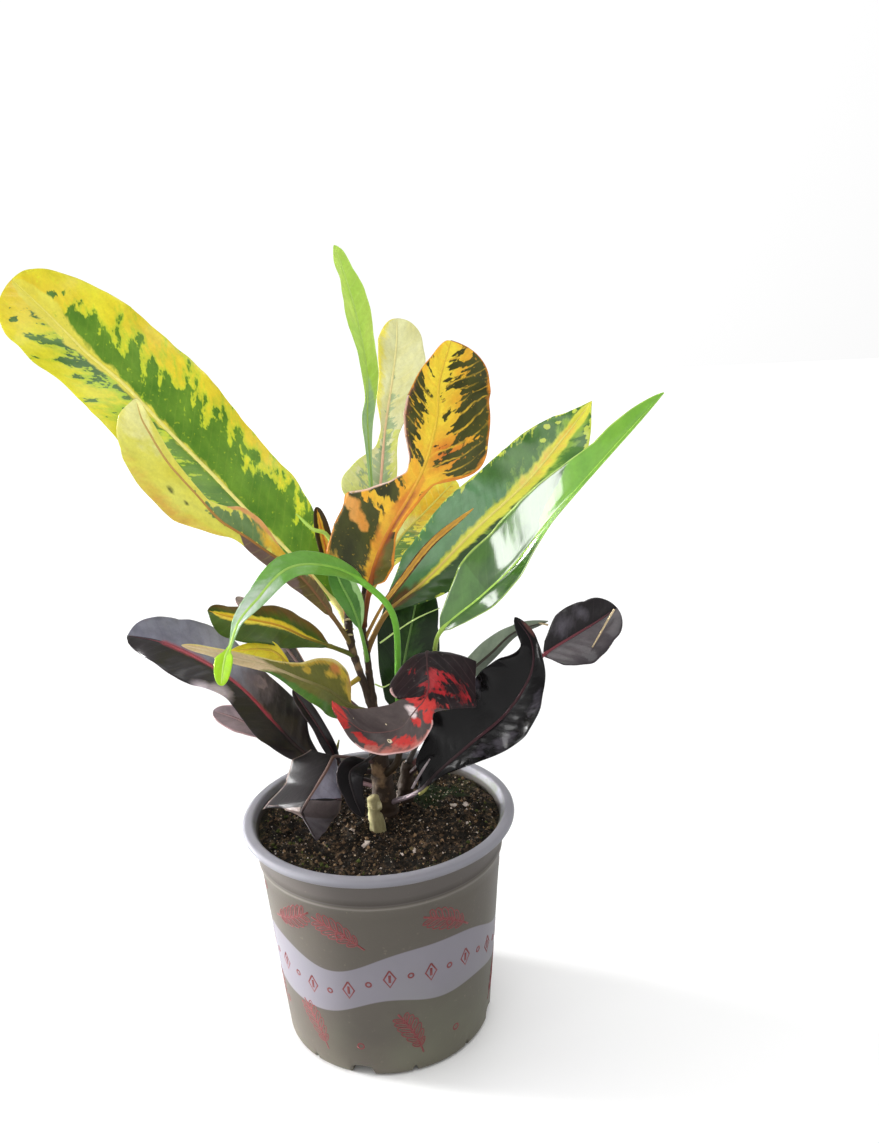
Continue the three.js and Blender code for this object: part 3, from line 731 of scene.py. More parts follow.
def on_wall(arc, height, lift):
    """A point over the wall, arc millimetres round from the front."""
    radius = wall_radius(height) + lift
    angle = arc / wall_radius(PRINT_HEIGHT) - math.pi / 2
    return (radius * math.cos(angle), radius * math.sin(angle), height)


def add_line(shell, places, width=LINE_WIDTH):
    """A thin printed line through places on the wall, each an arc and a height."""
    loops = []
    for k, (arc, height) in enumerate(places):
        after = places[min(k + 1, len(places) - 1)]
        before = places[max(k - 1, 0)]
        run = math.hypot(after[0] - before[0], after[1] - before[1]) or 1
        side_arc = -(after[1] - before[1]) / run * width / 2
        side_height = (after[0] - before[0]) / run * width / 2
        corners = [(side_arc, side_height, -PRINT_LIFT), (-side_arc, -side_height, -PRINT_LIFT),
                   (-side_arc, -side_height, PRINT_LIFT), (side_arc, side_height, PRINT_LIFT)]
        loops.append([shell.point(on_wall(arc + a, height + h, lift)) for a, h, lift in corners])
    shell.loft(loops)


def add_sprig(shell, arc, height, lean):
    """A printed sprig: a bowed stem with pairs of narrow outlined leaflets."""
    turn = math.radians(lean)

    def spot(along, across):
        bow = SPRIG_BOW * math.sin(math.pi * along / SPRIG_LENGTH)
        return (arc + along * math.sin(turn) + (across + bow) * math.cos(turn),
                height + along * math.cos(turn) - (across + bow) * math.sin(turn))

    add_line(shell, [spot(SPRIG_LENGTH * k / 12, 0) for k in range(13)], LINE_WIDTH * 1.2)
    for k in range(LEAFLET_PAIRS):
        start = SPRIG_LENGTH * (0.16 + 0.76 * k / LEAFLET_PAIRS)
        size = 0.27 * SPRIG_LENGTH * math.sin(math.pi * (0.22 + 0.62 * k / LEAFLET_PAIRS))
        for hand in (-1, 1):
            outline = []
            for c in range(15):
                phase = 2 * math.pi * c / 14
                run = size * (0.5 - 0.5 * math.cos(phase)) * LEAFLET_LEAN
                width = 0.2 * size * math.sin(phase) * 0.7
                outline.append(spot(start + run - hand * width, hand * run + width))
            add_line(shell, outline, LINE_WIDTH * 0.7)
            vein = [size * LEAFLET_LEAN * c / 4 for c in range(4)]
            add_line(shell, [spot(start + run, hand * run) for run in vein], LINE_WIDTH * 0.5)


def add_ring(shell, arc, height, radius):
    turns = [2 * math.pi * c / RING_SIDES for c in range(RING_SIDES + 1)]
    add_line(shell, [(arc + radius * math.cos(turn), height + radius * math.sin(turn)) for turn in turns])


def add_lozenge(shell, arc, height, size):
    corners = [(0, size), (size * 0.6, 0), (0, -size), (-size * 0.6, 0), (0, size)]
    add_line(shell, [(arc + a, height + h) for a, h in corners])
    add_line(shell, [(arc, height - size * 0.45), (arc, height + size * 0.45)], LINE_WIDTH * 1.5)


def band_middle(arc):
    """The height of the band's middle line, as in its paint."""
    turn = arc / wall_radius(PRINT_HEIGHT)
    return BAND_MIDDLE + sum(height * math.sin(count * turn + start) for count, start, height in BAND_WAVES)


class CROTON_OT_print_pot(bpy.types.Operator):
    """Print plain sprigs and a row of lozenges round the pot"""
    bl_idname = "croton.print_pot"
    bl_label = "Print the Pot"

    def execute(self, context):
        paint = Paint("print_ink", Roughness=0.5, Specular_IOR_Level=0.15)
        worn = paint.noise(paint.place(), scale=600, detail=3)
        paint.color(paint.blend(worn, INK_WORN, context.scene.croton.pot.print_color))
        shell = Shell()
        girth = 2 * math.pi * wall_radius(PRINT_HEIGHT)
        for k in range(SPRIGS):
            arc = girth * (k + 0.3) / SPRIGS
            odd, third = k % 2, k % 3
            add_sprig(shell, arc, 10 + 2 * odd, 30 if odd else -26)
            add_sprig(shell, arc + girth / SPRIGS / 2, 66 + 3 * odd, 64 if odd else -60)
            add_ring(shell, arc + 13, 72 + 3 * third, 1.7)
            add_ring(shell, arc + 17, 16 + 3 * third, 1.4)
        for k in range(MARKS):
            arc = girth * k / MARKS
            if k % 2:
                add_ring(shell, arc, band_middle(arc), 1.1)
            else:
                add_lozenge(shell, arc, band_middle(arc), LOZENGE)
        shell.build("pot_print", "pot", [paint.material])
        return {"FINISHED"}


# ---- soil ----

SOIL_TOP = 97.0
SOIL_RADIUS = 52.9
SOIL_DEPTH = 6.0           # how deep the drawn surface goes down inside the wall
SOIL_RINGS = 70
SOIL_SPOKES = 220
MOSS_X = 23.0              # the middle of the dark cushion of moss
MOSS_Y = 15.0
MOSS_REACH = 11.0
MOSS_TONE = (74, 82, 38)
CUSHION_TONE = (30, 42, 18)
GREEN_CRUMBS = 0.97        # crumbs whose tone is above this are mossy
DRAW_SEED = 21
CRUMB_CORNERS = [(0, 0, 1), (1, 0, 0), (0, 1, 0), (-1, 0, 0), (0, -1, 0), (0, 0, -1)]
CRUMB_FACES = [(0, 1, 2), (0, 2, 3), (0, 3, 4), (0, 4, 1), (5, 2, 1), (5, 3, 2), (5, 4, 3), (5, 1, 4)]

# the larger pale grains: x, y and radius
PLACED_GRAINS = [
    (-6.5, -27, 1.9), (33.5, 3, 1.5), (39.5, 3, 1.7), (8, -34, 1.2), (13.5, -32, 1.1), (38, -12, 0.9),
    (-12, -14, 1.2), (41, -22, 0.8), (-2, -48, 0.9),
]
GRAIN_TONES = [
    (0.0, (112, 88, 62)), (0.35, (150, 132, 106)), (0.7, (176, 158, 140)), (1.0, (230, 216, 208)),
]
LUMPS_IN_GRAIN = 5


def lump(x, y, scale, layer):
    """Uneven ground, finer for a larger scale."""
    return noise.noise(Vector((x * scale, y * scale, layer)))


def soil_height(x, y):
    """The soil's surface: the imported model's mound and hollows, with crumbs on it."""
    mound = 1.6 * math.exp(-(x * x + y * y) / 900)
    bumps = math.sin(x * 0.31 + 1.1) * math.cos(y * 0.27) + 0.6 * math.sin(x * 0.13 - y * 0.19 + 2)
    clods = 2.2 * lump(x, y, 0.16, 3.0)
    crumbs = 0.9 * lump(x, y, 0.5, 9.0) + 0.5 * lump(x, y, 1.3, 5.0)
    edge = smooth_step(SOIL_RADIUS + 2, SOIL_RADIUS - 6, math.hypot(x, y))
    return SOIL_TOP + mound + 0.54 * bumps + (clods + crumbs) * (0.4 + 0.6 * edge) - 0.8 * (1 - edge)


def soil_shell():
    shell = Shell()
    loops = []
    hub = shell.point((0, 0, soil_height(0, 0)))
    for r in range(1, SOIL_RINGS + 1):
        radius = (SOIL_RADIUS + 0.6) * r / SOIL_RINGS
        loop = []
        for s in range(SOIL_SPOKES):
            angle = 2 * math.pi * s / SOIL_SPOKES
            x, y = radius * math.cos(angle), radius * math.sin(angle)
            loop.append(shell.point((x, y, soil_height(x, y))))
        loops.append(loop)
    loops.append([shell.point((*shell.points[k][:2], SOIL_TOP - SOIL_DEPTH)) for k in loops[-1]])
    for s in range(SOIL_SPOKES):
        after = (s + 1) % SOIL_SPOKES
        shell.face((hub, loops[0][s], loops[0][after]))
        for low, high in zip(loops, loops[1:]):
            shell.face((low[s], high[s], high[after], low[after]))
    shell.face(reversed(loops[-1]))
    return shell


def add_crumb(shell, draw, x, y, size, sink, tone):
    """A lump with eight uneven faces, sunk a little into the surface."""
    spin = draw.uniform(0, math.pi)
    base = Vector((x, y, soil_height(x, y) + size * sink))
    numbers = []
    for corner in CRUMB_CORNERS:
        place = Vector(corner) * size * draw.uniform(0.65, 1.2)
        place.rotate(Matrix.Rotation(spin, 3, "Z") @ Matrix.Rotation(spin * 1.7, 3, "X"))
        numbers.append(shell.point(base + place, tone=tone))
    for face in CRUMB_FACES:
        shell.face([numbers[k] for k in face])


def random_spot(draw, reach):
    """A place on the soil within reach of its middle, all of them as likely."""
    radius = reach * math.sqrt(draw.random())
    angle = draw.uniform(0, 2 * math.pi)
    return radius * math.cos(angle), radius * math.sin(angle)


def soil_paint(settings):
    """Damp soil with dry crumbs on top, moss near the wall and a dark cushion of moss."""
    paint = Paint("soil", Roughness=0.95, Specular_IOR_Level=0.2)
    place = paint.place()
    x, y, _ = paint.axes(place)
    coarse = paint.noise(place, scale=420, detail=6, roughness=0.75)
    lumps = paint.noise(place, scale=170, detail=3)
    patch = paint.noise(place, scale=60, detail=3)
    lit = paint.times(paint.above(coarse, 0.56, 0.16), paint.above(lumps, 0.5, 0.3))
    tone = paint.blend(lit, settings.dark_color, settings.light_color)
    outward = paint.scaled(paint.from_axis(x, y), 9.0, -0.42)
    moss = paint.above(paint.plus(patch, outward), 0.6, 0.24)
    moss = paint.times(moss, paint.above(coarse, 0.5, 0.2))
    tone = paint.blend(paint.times(moss, 0.5), tone, MOSS_TONE)
    off_x, off_y = (paint.math("ABSOLUTE", paint.minus(value, middle * MM))
                    for value, middle in ((x, MOSS_X), (y, MOSS_Y)))
    away = paint.plus(paint.times(off_x, 0.7), off_y)
    cushion = paint.above(paint.times(patch, 0.024), away, 0.003)
    paint.color(paint.blend(paint.times(cushion, 0.95), tone, CUSHION_TONE))
    paint.bump(coarse, 0.0012)
    return paint.material


def crumb_paint(settings):
    paint = Paint("soil_crumbs", Roughness=0.95, Specular_IOR_Level=0.2)
    paint.color(paint.ramp(paint.value("tone"), [
        (0.0, settings.dark_color), (0.55, (44, 36, 28)), (0.82, settings.light_color),
        (0.94, (150, 122, 92)), (GREEN_CRUMBS, (60, 68, 32)), (1.0, (90, 98, 52))]))
    return paint.material


def grain_paint():
    paint = Paint("perlite", Roughness=0.9)
    speck = paint.noise(paint.place(), scale=700, detail=3)
    tone = paint.ramp(paint.value("tone"), GRAIN_TONES)
    paint.color(paint.shade_by(tone, paint.scaled(speck, 0.4, 0.75)))
    return paint.material


def crumb_shell(draw, count):
    """Crumbs all over the soil: finer and darker at the cushion, and mossy ones near the wall."""
    shell = Shell()
    for _ in range(count):
        x, y = random_spot(draw, SOIL_RADIUS - 1)
        size = 0.26 + 1.0 * draw.random() ** 4
        tone = 0.96 * draw.random() ** 1.6
        near_moss = math.hypot(x - MOSS_X, y - MOSS_Y) < MOSS_REACH
        if near_moss:
            size *= 0.5
        if draw.random() < 0.14 * smooth_step(34, 50, math.hypot(x, y)) + (0.12 if x < -20 else 0):
            tone = draw.uniform(GREEN_CRUMBS, 1)
        elif near_moss:
            tone *= 0.4
        add_crumb(shell, draw, x, y, size, 0.3, tone)
    return shell


def grain_shell(draw, count):
    """Pale grains: fine ones all over, and the larger ones as clusters of lumps."""
    shell = Shell()
    for _ in range(count):
        x, y = random_spot(draw, SOIL_RADIUS - 2)
        add_crumb(shell, draw, x, y, 0.16 + 0.5 * draw.random() ** 4, 0.55, draw.random())
    for x, y, size in PLACED_GRAINS:
        for _ in range(LUMPS_IN_GRAIN):
            add_crumb(shell, draw, x + draw.uniform(-0.5, 0.5) * size, y + draw.uniform(-0.5, 0.5) * size,
                      size * draw.uniform(0.55, 0.8), 0.7, draw.uniform(0.8, 1))
    return shell


class CROTON_OT_build_soil(bpy.types.Operator):
    """Build the potting soil with its crumbs, pale grains and moss"""
    bl_idname = "croton.build_soil"
    bl_label = "Build the Soil"

    def execute(self, context):
        settings = context.scene.croton.soil
        draw = random.Random(DRAW_SEED)
        soil_shell().build("potting_soil", "soil", [soil_paint(settings)], nodes=["soil"])
        crumb_shell(draw, settings.crumbs).build(
            "soil_crumbs", "soil", [crumb_paint(settings)], smooth=False)
        grain_shell(draw, settings.grains).build("perlite_grains", "soil", [grain_paint()], smooth=False)
        return {"FINISHED"}


# ---- stems ----

# x, y, z and radius from the root end to the tip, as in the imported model
STEMS = {
    "main": [[3, 0, 92, 6.0], [2.5, 0, 105, 5.3], [1.5, 0, 125, 4.0], [0, 1, 152, 2.1],
             [-1, 2, 173, 1.4], [-2, 3, 188, 1.4], [0.5, 6, 205, 1.4], [3.5, 8, 220, 1.1]],
    "side": [[0, 1, 148, 2.0], [-4, 0, 164, 1.6], [-7, 0, 176, 1.7], [-8, 0, 186, 1.8], [-8, 1, 197, 1.1]],
    "dark": [[11, 12, 92, 4.5], [12.5, 10, 104, 3.8], [14, 8, 118, 2.6]],
    "stub": [[-1, -12, 92, 3.9], [-1.3, -12, 101, 3.4], [-2.3, -11.6, 106, 2.7], [-1.8, -11, 109, 3.1],
             [-2.6, -11, 113, 2.3]],
}
ROW_GAP = 0.8              # between the rows of a stem's mesh
STEM_SIDES = 20
TWIG_SIDES = 8

# piece, its stems, its slot, its bark, the node that it replaces, and the distance between its knobs
STEM_PIECES = (
    ("rooted_stem", ("main", "side"), "stem", "bark", "stem_main", 9.0),
    ("dark_stem", ("dark",), "stem", "bark", "stem_dark", 7.0),
    ("cut_stub", ("stub",), "stub", "dry_stub", "stem_stub", 6.0),
)
BARKS = {
    "bark": ((24, 18, 14), (68, 51, 37), (122, 98, 72)),
    "dry_stub": ((96, 88, 60), (186, 176, 128), (216, 206, 164)),
}


def stem_rows(stem, knobs):
    """Rows of a stem, with a swelling and a scar at each node."""
    length = sum((Vector(b[:3]) - Vector(a[:3])).length for a, b in zip(stem, stem[1:]))
    count = int(length / ROW_GAP)
    rows = []
    for k in range(count + 1):
        row = spline(stem, k / count * (len(stem) - 1))
        phase = (k * ROW_GAP / knobs + 0.2) % 1
        swelling = 0.13 * math.exp(-((phase - 0.5) / 0.12) ** 2)
        scar = 0.05 * math.exp(-((phase - 0.68) / 0.05) ** 2)
        row[3] *= 0.97 + (swelling - scar)
        rows.append(row)
    return rows


def bark_paint(name, dark, light, scar):
    """Bark that is streaked along the stem, with scarred patches."""
    paint = Paint(name, Roughness=0.75, Specular_IOR_Level=0.3)
    place = paint.place()
    streaks = paint.noise(paint.stretch(place, (1, 1, 0.35)), scale=480, detail=5, roughness=0.7)
    patches = paint.noise(place, scale=130, detail=3)
    tone = paint.blend(streaks, dark, light)
    paint.color(paint.blend(paint.above(patches, 0.6, 0.1), tone, scar))
    paint.bump(streaks, 0.0005)
    return paint.material


class CROTON_OT_build_stems(bpy.types.Operator):
    """Build the knobby stems and the pale cut stub"""
    bl_idname = "croton.build_stems"
    bl_label = "Build the Stems"

    def execute(self, context):
        barks = {name: bark_paint(name, *tones) for name, tones in BARKS.items()}
        for name, stems, slot, bark, node, knobs in STEM_PIECES:
            shell = Shell()
            for stem in stems:
                add_tube(shell, stem_rows(STEMS[stem], knobs), STEM_SIDES, wobble=0.16, seed=len(name))
            shell.build(name, slot, [barks[bark]], nodes=[node])
        return {"FINISHED"}


# ---- twigs and threads ----

# slot, radius, colours, and the places x, y, z that each one runs through
TWIGS = {
    "dry_twigs": ("stub", 0.5, (178, 152, 112), (214, 196, 162), [
        [(116.9, 41.4, 173.4), (112.7, 38.2, 168.9), (108, 34.7, 163.3), (104, 31.8, 158.7)],
        [(88.6, 60, 161.6), (85.4, 60, 162.6), (82.1, 60, 163.1)],
        [(-9.9, -1.6, 183.2), (-8.2, -2.1, 183.9), (-6.4, -1.6, 183.6)],
        [(-9.6, -1.6, 190.2), (-8, -2.1, 190.8), (-6.5, -1.5, 190.4)]]),
    "grey_sticks": ("stem", 0.6, (104, 94, 98), (160, 148, 152), [
        [(14.6, -15, 117.5), (18.4, -15.5, 124.3), (22.8, -15, 130.6)]]),
    "green_buds": ("leaf_lime", 0.7, (104, 104, 52), (148, 146, 84), [
        [(17.4, -13.5, 113.6), (20, -13.8, 115.4), (22, -13.5, 117.8)],
        [(-18.4, 6, 124.9), (-16.8, 6, 129.1), (-15.7, 6, 132.9)]]),
    "fine_threads": ("leaf_lime", 0.35, (176, 206, 110), (206, 226, 150), [
        [(4.7, -4, 180), (12.6, -4, 185.2), (21, -4, 190), (30.6, -4, 193.7)],
        [(1.5, -12, 164.9), (4.8, -12, 163.3), (7.8, -12, 164.5)]]),
}
TWIG_STEPS = 4             # rows of the mesh from one place to the next


def twig_rows(places, radius):
    """Rows of a twig that thins out to half its radius."""
    steps = TWIG_STEPS * (len(places) - 1)
    return [[*spline(places, k / TWIG_STEPS), radius * (1 - 0.5 * (k / steps) ** 3)]
            for k in range(steps + 1)]


class CROTON_OT_lay_twigs(bpy.types.Operator):
    """Lay the dry twigs, buds and threads that hang between the leaves"""
    bl_idname = "croton.lay_twigs"
    bl_label = "Lay the Twigs"

    def execute(self, context):
        for name, (slot, radius, dark, light, twigs) in TWIGS.items():
            shell = Shell()
            for places in twigs:
                add_tube(shell, twig_rows(places, radius), TWIG_SIDES, wobble=0.3, seed=len(name))
            shell.build(name, slot, [bark_paint(name + "_bark", dark, light, light)])
        return {"FINISHED"}


# ---- leaf colours ----
# A coat is painted over each half of a blade from the midrib out to its limit, which is a share of the
# half width, or from the limit out to the margin if outside is set. The limit is a table of (share, limit)
# along the blade, 0 at its base and 1 at its tip, for the left and for the right half. spots are further
# places of it: the share along, the share across from -1 to 1, and their half sizes. ragged is how far its
# edge wanders from vein to vein, and blotch how far it wanders in round blots.

NOWHERE = [(0, -9)]


def coat(tones, left=NOWHERE, right=None, ragged=0.2, blotch=0.1, soft=0.06, outside=False, spots=()):
    return {"tones": tones, "left": left, "right": right or left, "ragged": ragged, "blotch": blotch,
            "soft": soft, "outside": outside, "spots": spots}


def coat_gap(layer, t, share):
    """How far inside a coat a place of the blade lies, below zero where it lies outside."""
    left, right = between(layer["left"], share), between(layer["right"], share)
    limit = left if t < 0 else right if t > 0 else (left + right) / 2
    gap = abs(t) - limit if layer["outside"] else limit - abs(t)
    for along, across, length, width in layer["spots"]:
        gap = max(gap, 0.5 * (1 - math.hypot((share - along) / length, (t - across) / width)))
    return max(gap, -3)


LEAF_GREEN = ((108, 148, 42), (76, 120, 28))
OLIVE = ((48, 50, 20), (74, 76, 30))
NEAR_BLACK = ((36, 30, 33), (24, 20, 22))

STYLES = {}


def look(name, **values):
    """Adds a look that leaves can have."""
    STYLES[name] = values


# Each look of a leaf: tones are the two colours that its ground is clouded with, under those of its
# underside, and rib the colours along its stalk and midrib. veins is the side veins' colour and strength,
# and may go on with their half width, how far they wander and which coat they lie over. finger is the
# width of the fingers in the coats' edges, freckles how many pinholes the coats have, rough, shine and
# gloss how the blade reflects, and relief how deep its net of veins is.
look("yellow_long", tones=((226, 220, 54), (218, 212, 44)), under=((206, 210, 108), (150, 172, 84)),
     veins=((206, 214, 90), 0.05), finger=6.5, freckles=0.4,
     rib=[(0, (176, 168, 92)), (0.2, (226, 220, 140)), (0.6, (240, 230, 132)), (1, (234, 224, 96))],
     coats=[
         coat(((230, 200, 52), (226, 190, 48)), blotch=0.3, soft=1.4,
              spots=[(0.97, -0.35, 0.08, 0.5), (0.9, 0.2, 0.08, 0.4), (0.6, 0.8, 0.1, 0.2),
                     (0.42, 0.9, 0.1, 0.16)]),
         coat(((178, 206, 52), (164, 196, 48)),
              [(0, 1.4), (0.3, 0.9), (0.5, 0.55), (0.8, 0.5), (0.9, -0.3)],
              [(0, 1.4), (0.3, 1.04), (0.5, 0.8), (0.7, 0.6), (0.8, 0.5), (0.86, -0.3)], ragged=0.8,
              blotch=0.5, soft=0.5),
         coat(LEAF_GREEN,
              [(0, 1.15), (0.1, 1), (0.2, 0.85), (0.32, 0.64), (0.44, 0.46), (0.5, 0.3), (0.54, -0.3),
               (1, -1)],
              [(0, 1.2), (0.16, 1.08), (0.28, 0.9), (0.4, 0.76), (0.5, 0.68), (0.6, 0.54), (0.7, 0.46),
               (0.78, 0.42), (0.815, 0.4), (0.845, -0.5), (1, -0.8)], ragged=0.75, blotch=0.55, soft=0.12,
              spots=[(0.88, 0.3, 0.01, 0.12), (0.86, 0.6, 0.008, 0.08)]),
         coat(((92, 130, 56), (66, 106, 44)),
              [(0, -1), (0.5, -0.4), (0.55, 0.1), (0.6, 0.24), (0.7, 0.36), (0.8, 0.32), (0.86, 0.1),
               (0.92, -0.1), (1, -0.8)], [(0, -2)], ragged=0.9, blotch=1.0, soft=0.12,
              spots=[(0.93, -0.66, 0.008, 0.08), (0.9, -0.55, 0.01, 0.14), (0.88, 0.4, 0.012, 0.1)]),
         coat(((228, 220, 84), (222, 208, 70)),
              [(0, 0.03), (0.45, 0.05), (0.6, 0.1), (0.8, 0.2), (1, 0.2)],
              [(0, 0.03), (0.45, 0.04), (0.6, 0.05), (0.7, 0.09), (0.78, 0.14), (0.84, 0.28), (1, 0.3)],
              ragged=0.06, blotch=0.05, soft=0.05)])
look("yellow_fold", tones=((224, 222, 100), (220, 212, 76)), under=((206, 200, 128), (150, 122, 96)),
     veins=((216, 210, 100), 0.1), finger=4.5,
     rib=[(0, (96, 82, 46)), (0.3, (130, 88, 56)), (0.55, (178, 124, 62)), (1, (212, 186, 104))],
     coats=[
         coat(((236, 234, 160), (232, 228, 140)), [(0, -0.5), (0.7, -0.4), (0.85, 0.7), (1, 1.2)],
              blotch=0.5, soft=0.5),
         coat(((220, 186, 78), (214, 170, 70)), blotch=0.5, soft=0.9,
              spots=[(0.62, -0.9, 0.1, 0.16), (0.4, 0.6, 0.05, 0.5)]),
         coat(((114, 142, 88), (92, 122, 66)), ragged=0.5, blotch=0.5, soft=0.1,
              spots=[(0.47, 0.34, 0.1, 0.42), (0.38, 0.3, 0.04, 0.3), (0.22, 0.4, 0.1, 0.4)]),
         coat(((228, 174, 110), (206, 132, 76)), [(0, 9)], [(0, 0.84), (0.5, 0.84), (0.56, 1.3), (1, 2)],
              ragged=0.1, outside=True),
         coat(((236, 190, 56), (226, 160, 50)), blotch=0.4, soft=0.3, spots=[(0.3, 0.6, 0.07, 0.4)]),
         coat(((126, 102, 96), (98, 76, 70)), [(0, 1.4), (0.4, 1.4), (0.45, -0.4), (1, -1)], NOWHERE,
              blotch=0.12, soft=0.14),
         coat(((112, 90, 48), (84, 68, 36)), [(0, 1.4), (0.14, 1.2), (0.24, -0.3), (1, -1)], ragged=0.3,
              blotch=0.3, soft=0.2),
         coat(((110, 116, 50), (86, 92, 44)), soft=0.4,
              spots=[(0.66, -0.45, 0.012, 0.06), (0.61, -0.4, 0.01, 0.05)])])
look("orange", tones=((230, 190, 52), (222, 156, 42)), under=((124, 88, 62), (96, 64, 54)),
     veins=((228, 184, 54), 1.0, 0.07, 6.0, 2), finger=3.6, freckles=0.4,
     rib=[(0, (84, 48, 28)), (0.2, (160, 84, 36)), (0.4, (206, 128, 44)), (0.7, (222, 190, 60)),
          (1, (216, 180, 60))],
     coats=[
         coat(((236, 212, 64), (230, 196, 54)), [(0, -0.3), (0.5, 0), (0.62, 0.4), (0.9, 0.7), (1, 0.8)],
              [(0, -0.3), (0.5, 0), (0.62, 0.14), (0.7, 0.3), (1, 0.34)], ragged=0.3, blotch=0.3,
              soft=0.4),
         coat(((214, 118, 40), (202, 100, 36)), blotch=0.3, soft=0.9, spots=[(0.62, 0.3, 0.05, 0.3)]),
         coat(OLIVE,
              [(0, 0.3), (0.12, 0.22), (0.27, 0.24), (0.33, 0.34), (0.36, 1.1), (0.38, 0.4), (0.42, 0.35),
               (0.46, 0.7), (0.5, 1.5), (0.55, 0.7), (0.58, 0.5), (0.7, 0.46), (0.82, 0.5), (0.86, 0.7),
               (0.9, 1.1), (1, 1.6)],
              [(0, -1), (0.26, -1), (0.3, 1.4), (0.54, 1.3), (0.57, 0.46), (0.6, 0.3), (0.64, 0.5),
               (0.7, 0.3), (0.8, 0.26), (0.95, 0.3), (0.98, 0.6), (1, 1)], ragged=0.9, blotch=0.8,
              soft=0.12, outside=True),
         # dark olive-brown over the right half near the base: its own colour, and partly painted shade
         coat(((104, 98, 42), (88, 82, 38)), [(0, 9)], [(0, 0.05), (0.25, 0.1), (0.28, 2), (1, 9)],
              ragged=0.05, soft=0.1, outside=True),
         coat(((120, 78, 62), (96, 62, 46)),
              [(0, 3), (0.5, 2), (0.56, 0.88), (0.84, 0.9), (0.88, 2), (1, 2)], [(0, 3)], ragged=0.1,
              blotch=0.2, soft=0.14, outside=True),
         coat(OLIVE, [(0, 0.16), (0.27, 0.1), (0.33, 0.3), (0.345, 9)], [(0, 9)], blotch=0.3, soft=0.12,
              outside=True, spots=[(0.4, -0.62, 0.028, 0.36)]),
         coat(((216, 158, 82), (206, 138, 58)), ragged=0.15, blotch=0.2, soft=0.2,
              spots=[(0.3, -0.86, 0.02, 0.2), (0.275, -0.66, 0.022, 0.16),
                     (0.255, -0.48, 0.022, 0.12)]),
         coat(((216, 178, 60), (206, 144, 50)), blotch=0.5, soft=0.3,
              spots=[(0.06, -0.85, 0.05, 0.2), (0.0, -0.75, 0.03, 0.3)]),
         coat(((220, 168, 50), (206, 120, 42)),
              [(0, 0.14), (0.12, 0.13), (0.3, 0.22), (0.5, 0.16), (0.55, -0.3), (1, -0.5)],
              [(0, 0.02), (0.25, 0.05), (0.3, 0.6), (0.4, 0.6), (0.5, 0.4), (0.56, -0.3), (1, -0.5)],
              ragged=0.06, blotch=0.05, soft=0.1),
         coat(((160, 78, 36), (136, 60, 30)), [(0, -1)],
              [(0, 0.14), (0.2, 0.2), (0.28, 0.5), (0.4, 0.4), (0.48, -0.2), (1, -1)], soft=0.4),
         coat(((222, 148, 44), (210, 120, 38)), [(0, 0.985), (1, 0.97)],
              [(0, 0.9), (0.25, 0.88), (0.3, 0.7), (0.5, 0.8), (0.53, 0.72), (0.57, 0.9), (0.6, 0.97),
               (1, 0.965)], ragged=0.05, blotch=0.06, outside=True),
         coat(((232, 206, 190), (214, 172, 150)),
              [(0, 9), (0.3, 9), (0.32, 0.955), (0.8, 0.965), (0.84, 9), (1, 9)], [(0, 9)], ragged=0.01,
              blotch=0.01, outside=True)])
look("lime", tones=((194, 226, 98), (172, 214, 84)), under=((172, 212, 100), (144, 194, 84)),
     veins=((206, 234, 130), 0.22), finger=3.4,
     rib=[(0, (120, 150, 84)), (0.4, (170, 206, 96)), (1, (206, 234, 130))],
     coats=[
         coat(((146, 184, 124), (164, 200, 138)),
              [(0, 1.2), (0.25, 1.1), (0.36, 0.3), (0.44, -0.3), (1, -1)], soft=0.3)])
look("pale", tones=((222, 222, 170), (218, 214, 146)), under=((216, 216, 156), (194, 194, 126)),
     veins=((226, 222, 180), 0.3),
     rib=[(0, (190, 130, 108)), (0.4, (226, 184, 150)), (0.7, (228, 218, 150)), (1, (228, 222, 160))],
     coats=[
         coat(((146, 168, 120), (176, 190, 144)),
              [(0, 1.2), (0.2, 0.9), (0.34, 0.5), (0.48, 0), (0.6, -0.5), (1, -1)],
              [(0, 1.1), (0.2, 0.7), (0.4, 0.6), (0.52, 0.1), (0.66, -0.4), (1, -1)], ragged=0.7,
              blotch=0.8, soft=0.2),
         coat(((206, 212, 100), (220, 222, 146)), [(0, 0.5), (0.4, 0.6), (0.5, 9)], ragged=0.6, blotch=1.1,
              soft=0.2, outside=True),
         coat(((226, 220, 96), (228, 212, 84)), [(0, 1.3), (0.3, 1.3), (0.5, 0.7), (1, 0.7)], [(0, 1.3)],
              ragged=0.3, blotch=0.3, soft=0.3, outside=True)])
